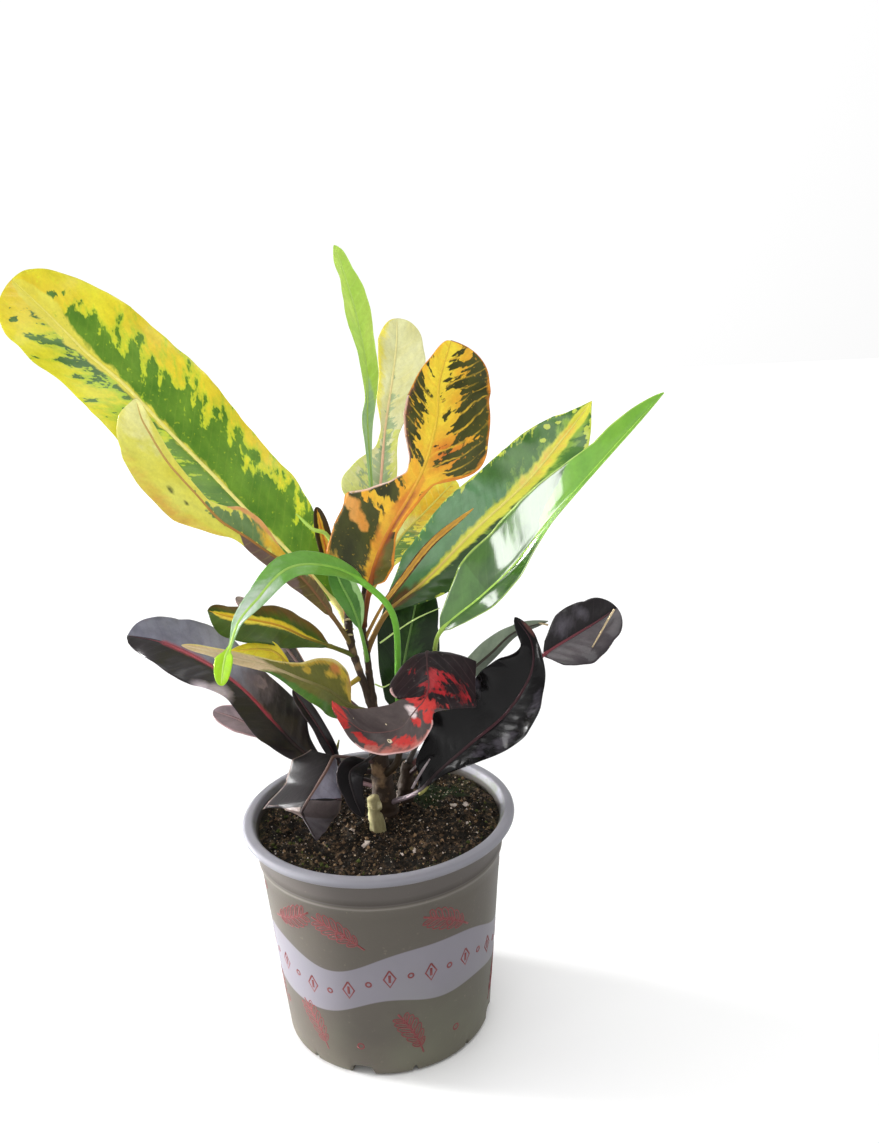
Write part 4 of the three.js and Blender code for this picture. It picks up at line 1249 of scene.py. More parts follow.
look("green_band", tones=((80, 128, 42), (56, 102, 32)), under=((98, 140, 84), (72, 112, 62)),
     veins=((108, 146, 84), 0.06), finger=5.0, rough=0.26, shine=0.3, relief=0.00015,
     rib=[(0, (96, 70, 34)), (0.2, (150, 116, 56)), (0.36, (226, 200, 104)), (0.5, (232, 216, 112)),
          (1, (226, 222, 110))],
     coats=[
         # a bluish-green cloud on the left half below the middle, partly painted sheen
         coat(((90, 140, 90), (76, 124, 72)), [(0, 0.4), (0.1, 1.3), (0.48, 1.3), (0.6, -0.4), (1, -1)],
              NOWHERE, soft=0.9),
         coat(((50, 84, 32), (38, 66, 24)), [(0, 1.3), (0.06, 0.8), (0.16, -0.3), (1, -1)],
              [(0, 1.3), (0.46, 1.3), (0.56, -0.3), (1, -1)], soft=0.5),
         coat(((146, 182, 62), (120, 160, 50)), [(0, -0.3), (0.6, 0.16), (0.8, 0.3), (1, 0.8)],
              [(0, -0.3), (0.5, 0.2), (0.8, 0.4), (1, 1)], ragged=0.3, blotch=0.5, soft=0.3),
         coat(((226, 220, 76), (214, 212, 64)),
              [(0, 0.06), (0.2, 0.08), (0.5, 0.13), (0.85, 0.22), (1, 0.8)],
              [(0, 0.1), (0.3, 0.2), (0.6, 0.24), (0.85, 0.26), (1, 0.9)], ragged=0.05, blotch=0.04,
              soft=0.08),
         coat(((232, 188, 82), (228, 200, 84)),
              [(0, -0.3), (0.5, -0.1), (0.62, 0.07), (0.9, 0.12), (1, -0.1)], soft=0.2),
         coat(((206, 216, 84), (186, 204, 72)), [(0, 1.1), (0.6, 0.99), (1, 0.9)],
              [(0, 1.1), (0.7, 1), (0.85, 0.82), (1, 0.9)], ragged=0.16, blotch=0.3, outside=True,
              spots=[(0.8, -0.75, 0.012, 0.14), (0.84, -0.6, 0.01, 0.1), (0.88, 0.72, 0.02, 0.12),
                     (0.75, -0.45, 0.012, 0.08), (0.92, -0.7, 0.014, 0.2)]),
         coat(((98, 70, 36), (70, 56, 28)), [(0, 0.6), (0.14, 0.2), (0.22, -0.3), (1, -1)], soft=0.3)])
look("glossy_green", tones=((66, 108, 30), (44, 84, 22)), under=((140, 188, 76), (120, 170, 66)),
     veins=((110, 150, 70), 0.1), finger=5.0, rough=0.12, shine=0.7, gloss=0.1, relief=5e-05,
     rib=[(0, (80, 78, 44)), (0.3, (140, 160, 70)), (0.45, (166, 206, 90)), (1, (180, 216, 96))],
     coats=[
         coat(((76, 122, 44), (58, 100, 34)), [(0, -1), (0.22, -0.4), (0.34, 9)], [(0, 9)], ragged=0,
              soft=0.5, outside=True),
         coat(((118, 172, 46), (100, 158, 38)),
              [(0, -1), (0.5, -0.6), (0.57, 0.2), (0.68, 0.6), (0.76, 1.3), (1, 1.3)],
              [(0, -1), (0.42, -0.6), (0.5, 0.3), (0.56, 1.3), (1, 1.3)], ragged=0.03, blotch=0.03,
              soft=0.05),
         coat(((176, 204, 92), (160, 192, 78)), [(0, 0.975), (1, 0.965)], ragged=0.01, blotch=0.01,
              outside=True)])
look("quill", tones=((228, 184, 84), (214, 160, 66)), under=((150, 92, 50), (120, 74, 46)),
     veins=((200, 150, 60), 0.1), finger=3.0,
     rib=[(0, (120, 84, 44)), (0.4, (196, 146, 66)), (1, (214, 160, 78))],
     coats=[coat(((98, 60, 34), (76, 48, 30)), [(0, 0.6), (0.6, 0.76), (1, 1.1)], outside=True)])
look("yellow_green", tones=((228, 224, 84), (220, 208, 58)), under=((192, 202, 92), (152, 172, 78)),
     veins=((232, 228, 120), 0.3), freckles=0.4, rib=[(0, (176, 160, 70)), (1, (226, 212, 96))],
     coats=[
         coat(((226, 226, 160), (214, 218, 130)), [(0, 1.4), (0.5, 1), (0.66, -0.3), (1, -1)], NOWHERE,
              ragged=0.3, blotch=0.4, soft=0.5),
         coat(((112, 146, 66), (84, 122, 52)), [(0, 0.5), (0.3, 0.2), (0.5, -0.2), (1, -0.6)],
              [(0, 0.9), (0.4, 0.5), (0.6, 0.2), (1, -0.3)], ragged=0.8, blotch=0.8),
         coat(((234, 190, 38), (224, 164, 36)), blotch=0.3, soft=0.6, spots=[(0.72, -0.1, 0.2, 1.0)])])
look("small_yellow", tones=((232, 216, 62), (224, 198, 50)), under=((192, 196, 84), (156, 162, 70)),
     veins=((216, 150, 50), 0.3), finger=3.0, rib=[(0, (150, 130, 50)), (1, (226, 190, 70))],
     coats=[
         coat(((130, 150, 52), (104, 128, 44)), [(0, 1), (0.2, 0.5), (0.4, -0.3), (1, -1)], ragged=0.5,
              blotch=0.4)])
look("dark_banded", tones=((72, 98, 30), (56, 74, 26)), under=((98, 112, 60), (82, 82, 46)),
     veins=((110, 126, 48), 0.14), finger=3.6,
     rib=[(0, (70, 84, 34)), (0.25, (120, 110, 44)), (0.5, (206, 150, 50)), (1, (216, 170, 56))],
     coats=[
         coat(((104, 78, 34), (82, 66, 30)), [(0, 9)], [(0, 0.55), (1, 0.6)], blotch=0.3, soft=0.5,
              outside=True),
         coat(((232, 196, 52), (222, 210, 66)),
              [(0, 0.08), (0.4, 0.16), (0.85, 0.2), (0.95, 0.1), (1, -0.4)],
              [(0, 0.12), (0.4, 0.26), (0.85, 0.3), (0.95, 0.15), (1, -0.4)], ragged=0.09, blotch=0.06,
              soft=0.1)])
look("dark_striped", tones=((54, 44, 20), (72, 52, 26)), under=((96, 76, 44), (76, 60, 38)),
     veins=((90, 70, 36), 0.1), finger=3.6,
     rib=[(0, (150, 80, 36)), (0.5, (214, 110, 44)), (1, (222, 150, 56))],
     coats=[
         coat(((230, 190, 60), (224, 160, 50)), [(0, 0.5), (0.5, 0.42), (0.9, 0.3), (1, -0.3)], ragged=0.1,
              soft=0.1)])
look("arch", tones=((92, 148, 50), (110, 162, 70)), under=((122, 170, 90), (104, 152, 78)),
     veins=((150, 190, 110), 0.08), rough=0.28,
     # the stalk's first stretch is painted dark brown as shade, where it runs down behind the red leaf
     rib=[(0, (44, 34, 24)), (0.11, (48, 38, 26)), (0.15, (80, 116, 40)), (0.2, (92, 152, 48)),
          (0.4, (112, 176, 56)), (0.6, (150, 190, 90)), (1, (190, 224, 110))],
     coats=[
         # a whitish painted sheen over the middle of the blade
         coat(((206, 214, 208), (178, 200, 180)), ragged=0.1, blotch=0.3, soft=0.8,
              spots=[(0.56, 0.0, 0.1, 1.0), (0.47, -0.3, 0.05, 0.5)]),
         coat(((150, 200, 30), (164, 208, 44)), [(0, -0.5), (0.62, -0.4), (0.7, 1.2), (1, 1.2)],
              soft=0.3)])
look("small_green", tones=((84, 134, 52), (60, 106, 40)), under=((112, 152, 84), (92, 132, 70)),
     veins=((110, 156, 76), 0.14), finger=3.6, rib=[(0, (96, 140, 56)), (1, (136, 178, 92))],
     coats=[
         coat(((164, 200, 136), (146, 186, 112)), [(0, 9)], [(0, 0.66), (1, 0.6)], ragged=0.1,
              outside=True)])
look("tan", tones=((112, 108, 48), (92, 96, 42)), under=((152, 142, 86), (128, 118, 68)),
     veins=((140, 130, 66), 0.12), finger=3.4,
     rib=[(0, (84, 84, 40)), (0.35, (116, 110, 58)), (0.6, (196, 176, 136)), (1, (220, 200, 164))],
     coats=[
         coat(((78, 118, 42), (60, 98, 34)), [(0, 0.45), (0.2, 0.6), (0.35, 0.55), (0.5, 0.7), (0.6, 1)],
              [(0, 9)], ragged=0.1, soft=0.2, outside=True),
         coat(((198, 172, 60), (180, 140, 56)), ragged=0.3, blotch=0.6, soft=0.35,
              spots=[(0.34, 0.92, 0.1, 0.18), (0.22, 0.9, 0.1, 0.14), (0.3, 0.55, 0.03, 0.16),
                     (0.09, 0.8, 0.07, 0.14), (0.04, 0.6, 0.05, 0.3), (0.17, 0.5, 0.025, 0.14)]),
         coat(((196, 126, 66), (180, 106, 54)), blotch=0.4, soft=0.5,
              spots=[(0.16, 0.72, 0.02, 0.14), (0.06, 0.95, 0.05, 0.08)]),
         coat(((214, 190, 156), (200, 174, 130)),
              [(0, -1), (0.36, -0.5), (0.5, 0.6), (0.58, 1.3), (1, 1.3)],
              [(0, -1), (0.42, -0.5), (0.56, 0.8), (0.62, 1.3), (1, 1.3)], ragged=0.1, blotch=0.2,
              soft=0.5),
         coat(((224, 208, 140), (212, 190, 114)), [(0, 9)], [(0, 0.95), (0.5, 0.9), (1, 0.6)], ragged=0.05,
              blotch=0.06, soft=0.1, outside=True)])
# the leaf at the back is painted very dark green, partly as the shade it stands in
look("back_green", tones=((28, 50, 20), (16, 32, 13)), under=((60, 92, 50), (44, 70, 38)),
     veins=((50, 78, 38), 0.08), rough=0.26, shine=0.3, rib=[(0, (46, 62, 30)), (1, (110, 146, 80))],
     coats=[coat(((50, 84, 32), (42, 70, 28)), [(0, 0.1), (1, 0.2)], blotch=0.5, soft=0.6)])
look("dark", tones=NEAR_BLACK, under=((76, 54, 60), (56, 42, 46)), veins=((70, 56, 62), 0.14), shine=0.3,
     rib=[(0, (40, 30, 30)), (0.35, (56, 32, 36)), (1, (84, 52, 58))],
     coats=[coat(((58, 48, 54), (50, 42, 46)), [(0, 0.93), (1, 0.93)], blotch=0.05, outside=True)])
look("dark_long", tones=NEAR_BLACK, under=((86, 62, 70), (66, 50, 56)), veins=((70, 56, 62), 0.1),
     shine=0.3,
     rib=[(0, (40, 28, 28)), (0.38, (46, 32, 36)), (0.46, (140, 52, 64)), (0.8, (160, 76, 86)),
          (0.92, (70, 50, 56))],
     coats=[
         # a grey-lilac painted sheen over the right half towards the tip
         coat(((118, 118, 132), (92, 92, 106)), NOWHERE, [(0, -1), (0.4, -0.6), (0.56, 1.3), (1, 1.3)],
              ragged=0, blotch=0.3, soft=1.0),
         coat(((146, 122, 124), (110, 90, 94)), ragged=0.1, blotch=0.3, soft=0.2,
              spots=[(0.47, 0.62, 0.025, 0.2)]),
         coat(((186, 174, 182), (150, 138, 148)), ragged=0, blotch=0.15, soft=0.5,
              spots=[(0.55, -0.95, 0.05, 0.4), (0.62, -0.95, 0.04, 0.2)]),
         coat(((96, 84, 92), (74, 64, 70)), ragged=0, blotch=0.5, soft=0.9,
              spots=[(0.48, 0.55, 0.05, 0.4)]),
         coat(((166, 70, 82), (142, 54, 66)),
              [(0, -0.3), (0.28, -0.3), (0.36, 0.04), (0.7, 0.06), (0.84, 0.08), (0.9, -0.3), (1, -1)],
              ragged=0.03, blotch=0.02, soft=0.12)])
look("dark_grey", tones=((150, 134, 138), (112, 98, 104)), under=((112, 94, 100), (86, 72, 78)),
     veins=((130, 114, 120), 0.2), finger=3.6, rib=[(0, (80, 56, 58)), (1, (150, 124, 126))],
     coats=[
         coat(((62, 54, 58), (44, 38, 42)), [(0, 1.4), (0.2, 1), (0.4, -0.3), (1, -1)],
              [(0, 1.4), (0.3, 1), (0.5, -0.3), (1, -1)], ragged=0.3, blotch=0.4, soft=0.5),
         coat(((190, 158, 158), (170, 138, 140)), [(0, 0.92), (1, 0.9)], ragged=0.05, blotch=0.05,
              soft=0.1, outside=True)])
look("dark_oval", tones=((26, 22, 25), (34, 29, 32)), under=((100, 82, 90), (80, 66, 72)),
     veins=((80, 66, 74), 0.1), gloss=0.1,
     rib=[(0, (96, 62, 62)), (0.5, (122, 56, 66)), (0.8, (96, 50, 58)), (1, (60, 48, 52))],
     coats=[
         coat(((92, 84, 88), (72, 66, 70)), NOWHERE, [(0, 1.4), (1, 1.4)], ragged=0, soft=0.5),
         coat(((62, 55, 60), (50, 45, 49)), [(0, 9)], [(0, 0.75), (1, 0.75)], ragged=0, soft=0.4,
              outside=True),
         # bluish-grey painted sheen in soft spots on the left half
         coat(((92, 86, 96), (74, 70, 78)), ragged=0, blotch=0.5, soft=0.9,
              spots=[(0.3, -0.55, 0.08, 0.25), (0.55, -0.6, 0.05, 0.2)])])
look("cupped", tones=((12, 11, 12), (9, 8, 9)), under=((46, 34, 38), (34, 26, 30)),
     veins=((34, 28, 31), 0.1), finger=4.4, rough=0.24, shine=0.12, gloss=0.12,
     rib=[(0, (120, 106, 112)), (0.13, (134, 118, 124)), (0.2, (36, 28, 30)), (0.5, (56, 22, 30)),
          (1, (40, 24, 28))],
     coats=[
         coat(((88, 56, 52), (70, 46, 44)), ragged=0, soft=0.3, spots=[(0.9, 0.8, 0.05, 0.4)]),
         # grey painted highlights in soft spots, most of them near the right margin
         coat(((70, 66, 74), (54, 50, 56)), ragged=0, blotch=0.9, soft=0.7,
              spots=[(0.4, 0.7, 0.03, 0.2), (0.56, 0.85, 0.03, 0.2), (0.3, 0.6, 0.03, 0.2),
                     (0.45, -0.9, 0.04, 0.12)])])
# near black, partly as painted shade where the hanging leaf sits in the dark middle of the plant
look("ribbon", tones=((22, 19, 21), (17, 15, 16)), under=((30, 25, 27), (22, 19, 21)),
     veins=((40, 32, 36), 0.1), shine=0.08, gloss=0.0, rib=[(0, (34, 26, 26)), (1, (30, 24, 26))],
     coats=[
         coat(((58, 50, 52), (46, 40, 42)), [(0, 9)], [(0, 0.95), (1, 0.93)], ragged=0.02, blotch=0.05,
              outside=True)])
look("crumpled", tones=((32, 29, 30), (23, 21, 22)), under=((70, 56, 56), (56, 44, 46)),
     veins=((60, 54, 56), 0.12), finger=3.6, rough=0.4, shine=0.08, gloss=0.0,
     rib=[(0, (80, 62, 58)), (0.6, (112, 90, 84)), (0.75, (60, 50, 50)), (1, (90, 82, 84))],
     # the facet coats are partly the leaf's waxy bloom and partly painted light and reflection on the
     # facets that face the lamps
     coats=[
         coat(((128, 126, 140), (92, 88, 100)), [(0, 1.4), (0.46, 1.4), (0.5, -0.3), (1, -1)], NOWHERE,
              ragged=0, blotch=0.3, soft=0.4),
         coat(((100, 90, 90), (78, 70, 70)),
              [(0, -1), (0.49, -0.6), (0.52, 1.3), (0.86, 1.3), (0.9, -0.3), (1, -1)], NOWHERE, ragged=0,
              blotch=0.2, soft=0.2),
         coat(((112, 98, 92), (90, 78, 74)), NOWHERE,
              [(0, -1), (0.58, -0.5), (0.64, 1.3), (0.74, 1.3), (0.8, -0.3), (1, -1)], ragged=0,
              soft=0.3),
         coat(((124, 118, 122), (98, 92, 98)), [(0, -1), (0.72, -0.6), (0.8, 1.3), (1, 1.3)], ragged=0,
              blotch=0.2, soft=0.5),
         coat(((134, 116, 108), (108, 94, 90)), [(0, 0.97), (1, 0.97)], ragged=0, blotch=0.02,
              outside=True)])
look("red", tones=((92, 83, 81), (70, 61, 61)), under=((120, 50, 54), (84, 46, 48)),
     veins=((120, 96, 96), 0.1), finger=4.4, freckles=0.5, shine=0.1, gloss=0.02,
     rib=[(0, (44, 32, 32)), (0.3, (54, 38, 40)), (0.5, (120, 48, 50)), (0.7, (90, 78, 76)),
          (1, (120, 66, 66))],
     coats=[
         coat(((32, 25, 27), (44, 34, 36)), [(0, 1.4), (0.36, 1.4), (0.44, -0.3), (1, -1)], ragged=0,
              blotch=0.3, soft=0.4),
         coat(((176, 40, 46), (138, 30, 36)), ragged=0.6, blotch=0.6, soft=0.3,
              spots=[(0.2, -0.88, 0.1, 0.22), (0.14, -0.35, 0.025, 0.35), (0.2, 0.05, 0.03, 0.3),
                     (0.11, 0.4, 0.03, 0.14), (0.25, -0.3, 0.02, 0.3), (0.3, 0.5, 0.04, 0.4)]),
         coat(((204, 70, 64), (184, 52, 54)), ragged=0.5, blotch=0.5, soft=0.2,
              spots=[(0.4, 0.1, 0.07, 0.7), (0.5, -0.75, 0.05, 0.35), (0.55, -0.35, 0.03, 0.35),
                     (0.66, -0.65, 0.05, 0.3), (0.84, -0.55, 0.05, 0.25), (0.97, 0.1, 0.06, 1.3)]),
         coat(((42, 30, 33), (30, 22, 24)), [(0, 0.6), (0.33, 0.7), (0.38, 9)],
              [(0, 0.1), (0.33, 0.3), (0.38, 9)], ragged=0.9, blotch=0.8, soft=0.14, outside=True),
         coat(((196, 124, 112), (178, 98, 90)), [(0, 9), (0.5, 9), (0.56, 0.74), (0.85, 0.8), (1, 9)],
              [(0, 9)], ragged=0.3, blotch=0.4, soft=0.3, outside=True),
         coat(((226, 190, 186), (206, 160, 158)), [(0, 9), (0.45, 9), (0.5, 0.96), (0.9, 0.96), (1, 9)],
              [(0, 9), (0.1, 9), (0.14, 0.95), (0.25, 0.97), (0.45, 9), (1, 9)], ragged=0.02, blotch=0.03,
              outside=True),
         # a pale pink painted highlight where the lower lobe bends
         coat(((226, 214, 214), (206, 186, 186)), ragged=0.1, blotch=0.2, soft=0.4,
              spots=[(0.5, 0.25, 0.03, 0.3), (0.53, -0.05, 0.02, 0.2)]),
         coat(((222, 206, 176), (206, 186, 150)), ragged=0.1, soft=0.1,
              spots=[(0.725, -0.42, 0.01, 0.1), (0.86, 0.45, 0.004, 0.04), (0.7, 0.3, 0.004, 0.04)]),
         coat(((22, 16, 16), (16, 12, 12)), ragged=0, blotch=0, spots=[(0.725, -0.42, 0.005, 0.06)])])
look("grey_green", tones=((140, 152, 134), (118, 130, 114)), under=((96, 110, 96), (80, 92, 80)),
     veins=((126, 140, 126), 0.16), finger=3.6, rib=[(0, (52, 46, 42)), (1, (62, 56, 50))],
     coats=[coat(((96, 104, 92), (82, 90, 80)), [(0, 9)], [(0, 0.1), (1, 0.1)], soft=0.3, outside=True)])


BLOT = 4.2                 # size of the round blots in a coat's edge
CLOUD = (11, 9)            # size of the clouds in a tone, along and across
GRIT = 1.3                 # size of the finest dots in a coat's edge
NET = 2.5                  # width of the net of fine veins
FINGER_LENGTH = 11
VEINS = (0.05, 3.0)        # half width of the side veins in pitches, and how far they wander


def leaf_material(name, seed):
    """A blade: its ground, its coats one over the other, its side veins and its underside."""
    style = STYLES[name]
    coats = style["coats"]
    paint = Paint("blade_" + name, Roughness=style.get("rough", 0.3), Coat_Roughness=0.08,
                  Specular_IOR_Level=style.get("shine", 0.22), Coat_Weight=style.get("gloss", 0.05))
    vein, across = paint.value("vein"), paint.value("across")
    finger = paint.times(vein, 1 / style.get("finger", 4.0))

    def spread(along, width, layer, detail, roughness=0.5):
        """Noise over the blade, with sizes along and across it."""
        run = paint.times(vein, 1 / along) if along else finger
        return paint.noise(paint.vector(run, paint.times(across, 1 / width), seed + layer),
                           detail=detail, roughness=roughness)

    def wavering(noise_value):
        """The noise's middle range, drawn out to -1.5 and 1.5."""
        return paint.scaled(noise_value, 3.0, -1.5)

    fingers = wavering(spread(None, FINGER_LENGTH, 0.0, 2))
    blots = wavering(spread(BLOT, BLOT, 5.0, 3, 0.55))
    grit = wavering(spread(GRIT, GRIT, 9.0, 2))
    clouds = spread(*CLOUD, 7.0, 3)
    net = spread(None, NET, 3.0, 4, 0.6)
    speckle = paint.noise(paint.place(), scale=900, detail=3, roughness=0.7)
    freckle = paint.noise(paint.place(), scale=620, detail=1)
    mottle = paint.scaled(paint.minus(clouds, 0.5), 2.6, 0.5, clamp=True)
    holes = paint.times(paint.above(freckle, 0.71, 0.06), style.get("freckles", 0.0))

    vein_color, vein_strength, *wide = style["veins"]
    half, wander, vein_layer = wide or (*VEINS, len(coats) - 1)
    phase = paint.math("PINGPONG", paint.times(paint.scaled(clouds, wander, vein), 1 / VEIN_PITCH), 0.5)
    line = paint.above(half, phase, 0.09)
    strength = paint.scaled(blots, 1.1 if wide else 0.6, 0.4 if wide else 0.9, clamp=True)
    strength = paint.times(strength, vein_strength)

    tone = paint.blend(mottle, *style["tones"])
    for number, layer in enumerate(coats):
        gap = paint.scaled(fingers, layer["ragged"] * 0.8, paint.value(f"coat_{number}"))
        gap = paint.scaled(blots, layer["blotch"] * 0.8, gap)
        gap = paint.scaled(grit, layer["blotch"] * 0.25, gap)
        shown = paint.math("SUBTRACT", paint.edge(gap, layer["soft"]), holes, clamp=True)
        tone = paint.blend(shown, tone, paint.blend(mottle, *layer["tones"]))
        if number == vein_layer:
            tone = paint.blend(paint.times(line, strength), tone, vein_color)
    tone = paint.blend(paint.value("upper"), paint.blend(mottle, *style["under"]), tone)
    lights = paint.times(paint.scaled(speckle, 0.3, 0.85), paint.scaled(net, 0.4, 0.8))
    paint.color(paint.shade_by(tone, lights))
    paint.bump(paint.scaled(line, -0.15, net), style.get("relief", 0.00025), 0.5)
    return paint.material


def rib_material(name):
    paint = Paint("rib_" + name, Roughness=0.46, Specular_IOR_Level=0.2)
    grain = paint.noise(paint.place(), scale=500, detail=3)
    tone = paint.ramp(paint.value("run"), STYLES[name]["rib"])
    paint.color(paint.shade_by(tone, paint.scaled(grain, 0.36, 0.82)))
    return paint.material


# ---- leaves ----

LEAVES = {"upper": [], "middle": [], "dark": []}


def leaf(group, name, slot, style, stem, at, **shape):
    """Adds a leaf whose stalk leaves a stem at a height."""
    LEAVES[group].append({"name": name, "slot": slot, "style": style, "stem": stem, "at": at, **shape})


# Each leaf's shape: rib is the midrib's points from the stalk's first bend to the tip, and face is where
# its upper side looks, for all points or for each. The blade begins at the point start. left and right
# are its half widths: one for each point, or pairs of (point, width) for a finer margin. shift moves the
# midrib to the right, in such pairs too. A blade that is rolled or folded has margins instead, a left and
# a right place for each row from start to the tip, and one with creased set has straight folds. keel and
# cup raise the two halves, wave and waves ripple the margin, and loose and frill bend it unevenly. quilt
# is how far the blade bulges between its veins, blunt how round its tip is, stalk the stalk's radius,
# and ribbed how far the midrib stands out.
leaf("upper", "left_long", "leaf_yellow", "yellow_long", "side", 185,
     rib=[[-13, 8, 195], [-27, 16, 216], [-61, 33, 251], [-96, 46, 291], [-121, 52, 317], [-141, 52, 334]],
     face=[0.15, -0.85, 0.5],
     left=[(1, 1.5), (1.5, 4.5), (2, 8.5), (2.5, 12.9), (3, 18), (3.5, 19.5), (4, 19.1), (4.35, 17.6),
           (4.5, 16.6), (4.62, 18.6), (4.8, 20), (5, 19.8), (5.5, 21.5), (6, 21)],
     right=[(1, 1.5), (1.5, 7.9), (2, 15.5), (2.5, 24.4), (3, 25.5), (3.5, 28.1), (4, 27.6), (4.5, 27.5),
            (5, 23.2), (5.5, 20.5), (6, 20)],
     shift=[(1, 0), (2, -3), (2.5, -3.5), (3, -2.5), (3.5, -3.6), (4, -3.6), (4.5, -5.3), (5, -4.2),
            (5.5, -2.2), (6, 0)], keel=0.15, wave=1.6, waves=4, stalk=1.5, ribbed=0.55)
leaf("upper", "left_folded", "leaf_yellow", "yellow_fold", "side", 179,
     rib=[[-14, -8, 194], [-26, -16, 215], [-43, -26, 233], [-58, -38, 254], [-71, -50, 278],
          [-73, -56, 290]], face=[0.1, -0.85, 0.4],
     left=[(1, 1), (1.5, 3.5), (2, 6), (2.5, 5), (3, 4), (3.25, 3), (3.5, 5.4), (4, 12.8), (4.5, 13.2),
           (5, 12), (5.5, 8.5), (6, 8)],
     right=[(1, 1), (1.5, 2.8), (2, 3.4), (2.25, 2.2), (2.5, 3.8), (2.8, 6.2), (3.1, 8.6), (3.35, 8.8),
            (3.6, 5.5), (3.8, 1.9), (4, 1.7), (4.5, 2.4), (5, 2.7), (5.5, 2.7), (6, 2.7)],
     shift=[(3, 0), (3.5, -2.2), (4, -1.3), (4.5, -1.5), (5, 0)], keel=0.25, wave=1, waves=3)
leaf("upper", "orange_twisted", "leaf_orange", "orange", "main", 186,
     rib=[[2, -3, 205], [5, -9, 217], [11, -15, 231], [20, -20, 246], [26, -23, 258], [31, -22, 274],
          [33, -18, 288], [38.2, -16, 303]],
     face=[[0, -1, 0.2], [-0.1, -1, 0.2], [-0.1, -1, 0.1], [-0.2, -1, 0.1], [0.1, -1, 0.2], [0.1, -1, 0.2],
           [0.1, -1, 0.1], [0.1, -1, 0.1]],
     left=[(1, 8), (1.5, 19.5), (2, 20.5), (2.5, 20.7), (3, 20.7), (3.22, 22.4), (3.4, 18.5), (3.5, 16.1),
           (4, 9.5), (4.5, 5.3), (5, 6.5), (5.5, 10.6), (6, 13.3), (6.5, 12.1), (7, 8.9), (7.5, 6),
           (8, 5)],
     right=[(1, 5), (1.5, 6.5), (2, 7.5), (2.5, 5.6), (2.75, 4.2), (3, 3.3), (3.5, 3.5), (4, 4.5),
            (4.5, 6.1), (4.75, 11.5), (5, 17.7), (5.15, 20.2), (5.3, 21.4), (5.5, 21.6), (6, 20.4),
            (6.5, 20.2), (7, 20.6), (7.5, 20), (8, 20)], blunt=0.4, wave=1.2, waves=3, stalk=1.3)
leaf("upper", "top_lime", "leaf_lime", "lime", "main", 220,
     rib=[[5, 12, 238], [5, 16, 269], [6, 18, 291], [3, 20, 314], [-1, 20, 331], [-4, 18, 341]],
     face=[0.7, -0.7, 0.1],
     left=[(1, 0.8), (1.5, 2.2), (1.75, 2.8), (2, 3.8), (2.15, 3.8), (2.35, 2), (2.5, 1.6), (2.7, 2.6),
           (3, 4.5), (3.5, 6.2), (4, 7.5), (4.5, 6.8), (5, 5), (6, 4.5)],
     right=[(1, 0.8), (1.5, 0.9), (2, 2.6), (2.5, 4), (3, 5), (3.5, 6.5), (4, 7), (4.5, 6.1), (5, 4.5),
            (6, 4)], blunt=0.7, keel=0.3, wave=0.6, waves=3, stalk=0.9)
leaf("upper", "top_pale", "leaf_pale", "pale", "main", 206,
     rib=[[6, 17, 224], [10, 29, 246], [13, 41, 264], [18, 54, 285], [21, 63, 300], [22, 67, 311]],
     face=[0, -1, 0.2],
     left=[(1, 1.5), (1.3, 9), (1.6, 16.5), (1.85, 17), (2, 14.5), (2.3, 10.5), (2.45, 6), (2.6, 3),
           (3, 1.6), (3.2, 3), (3.5, 5.5), (4, 6), (4.5, 7.7), (5, 8.5), (6, 7.5)],
     right=[(1, 1.5), (1.5, 6), (2, 6.8), (2.5, 6), (2.9, 6), (3.2, 8), (3.5, 10.7), (4, 13.5),
            (4.5, 13.8), (5, 12), (6, 10)], blunt=0.45, keel=0.1, wave=1, waves=3)
leaf("upper", "right_banded", "leaf_green", "green_band", "main", 175,
     rib=[[9, 13, 188], [28, 22, 200], [51, 36, 217], [78, 52, 235], [98, 64, 253], [113, 70, 269]],
     face=[-0.2, -0.8, 0.6],
     left=[(1, 1.5), (2, 16), (3, 19.5), (4, 20), (4.5, 17.5), (5, 13), (5.5, 8.4), (6, 5)],
     right=[(1, 1.5), (2, 11), (3, 17.5), (4, 18), (4.5, 16.5), (5, 13), (5.5, 9.6), (6, 6)], blunt=0.9,
     keel=0.1, wave=1, waves=3, stalk=1.3)
leaf("upper", "right_glossy", "leaf_green", "glossy_green", "main", 136, start=3,
     rib=[[15, -3, 150], [26, -4, 168], [30, -9, 185], [47, -17, 202], [59, -25, 216], [72, -35, 236],
          [91, -46, 261], [110, -52, 283]],
     face=[[-0.3, -0.9, 0.3], [-0.3, -0.9, 0.3], [-0.3, -0.9, 0.3], [-0.22, -0.92, 0.3],
           [-0.69, -0.71, 0.17], [-0.71, -0.7, 0.13], [-0.35, -0.88, 0.3], [-0.3, -0.9, 0.3]],
     left=[0, 0, 2, 14.5, 16, 13.5, 6.5, 0],
     right=[(3, 1.5), (3.5, 4.5), (4, 6.5), (4.5, 6.3), (5, 5.6), (5.5, 3.2), (6, 1.5), (6.5, 1.2), (7, 1),
            (8, 1)], blunt=0.8, keel=0.12, quilt=0.03, loose=0.1, frill=0, ribbed=0.2)
leaf("upper", "orange_quill", "leaf_orange", "quill", "main", 180,
     rib=[[6, 0, 194], [15, -1, 207], [28, -1, 222], [46, 1, 235]], face=[-0.3, -0.8, 0.5],
     left=[1, 1.5, 1.5, 0], right=[1, 1.5, 1.5, 0], shift=[(1, 0), (2, 1), (4, 1)], blunt=0.8, stalk=0.8)
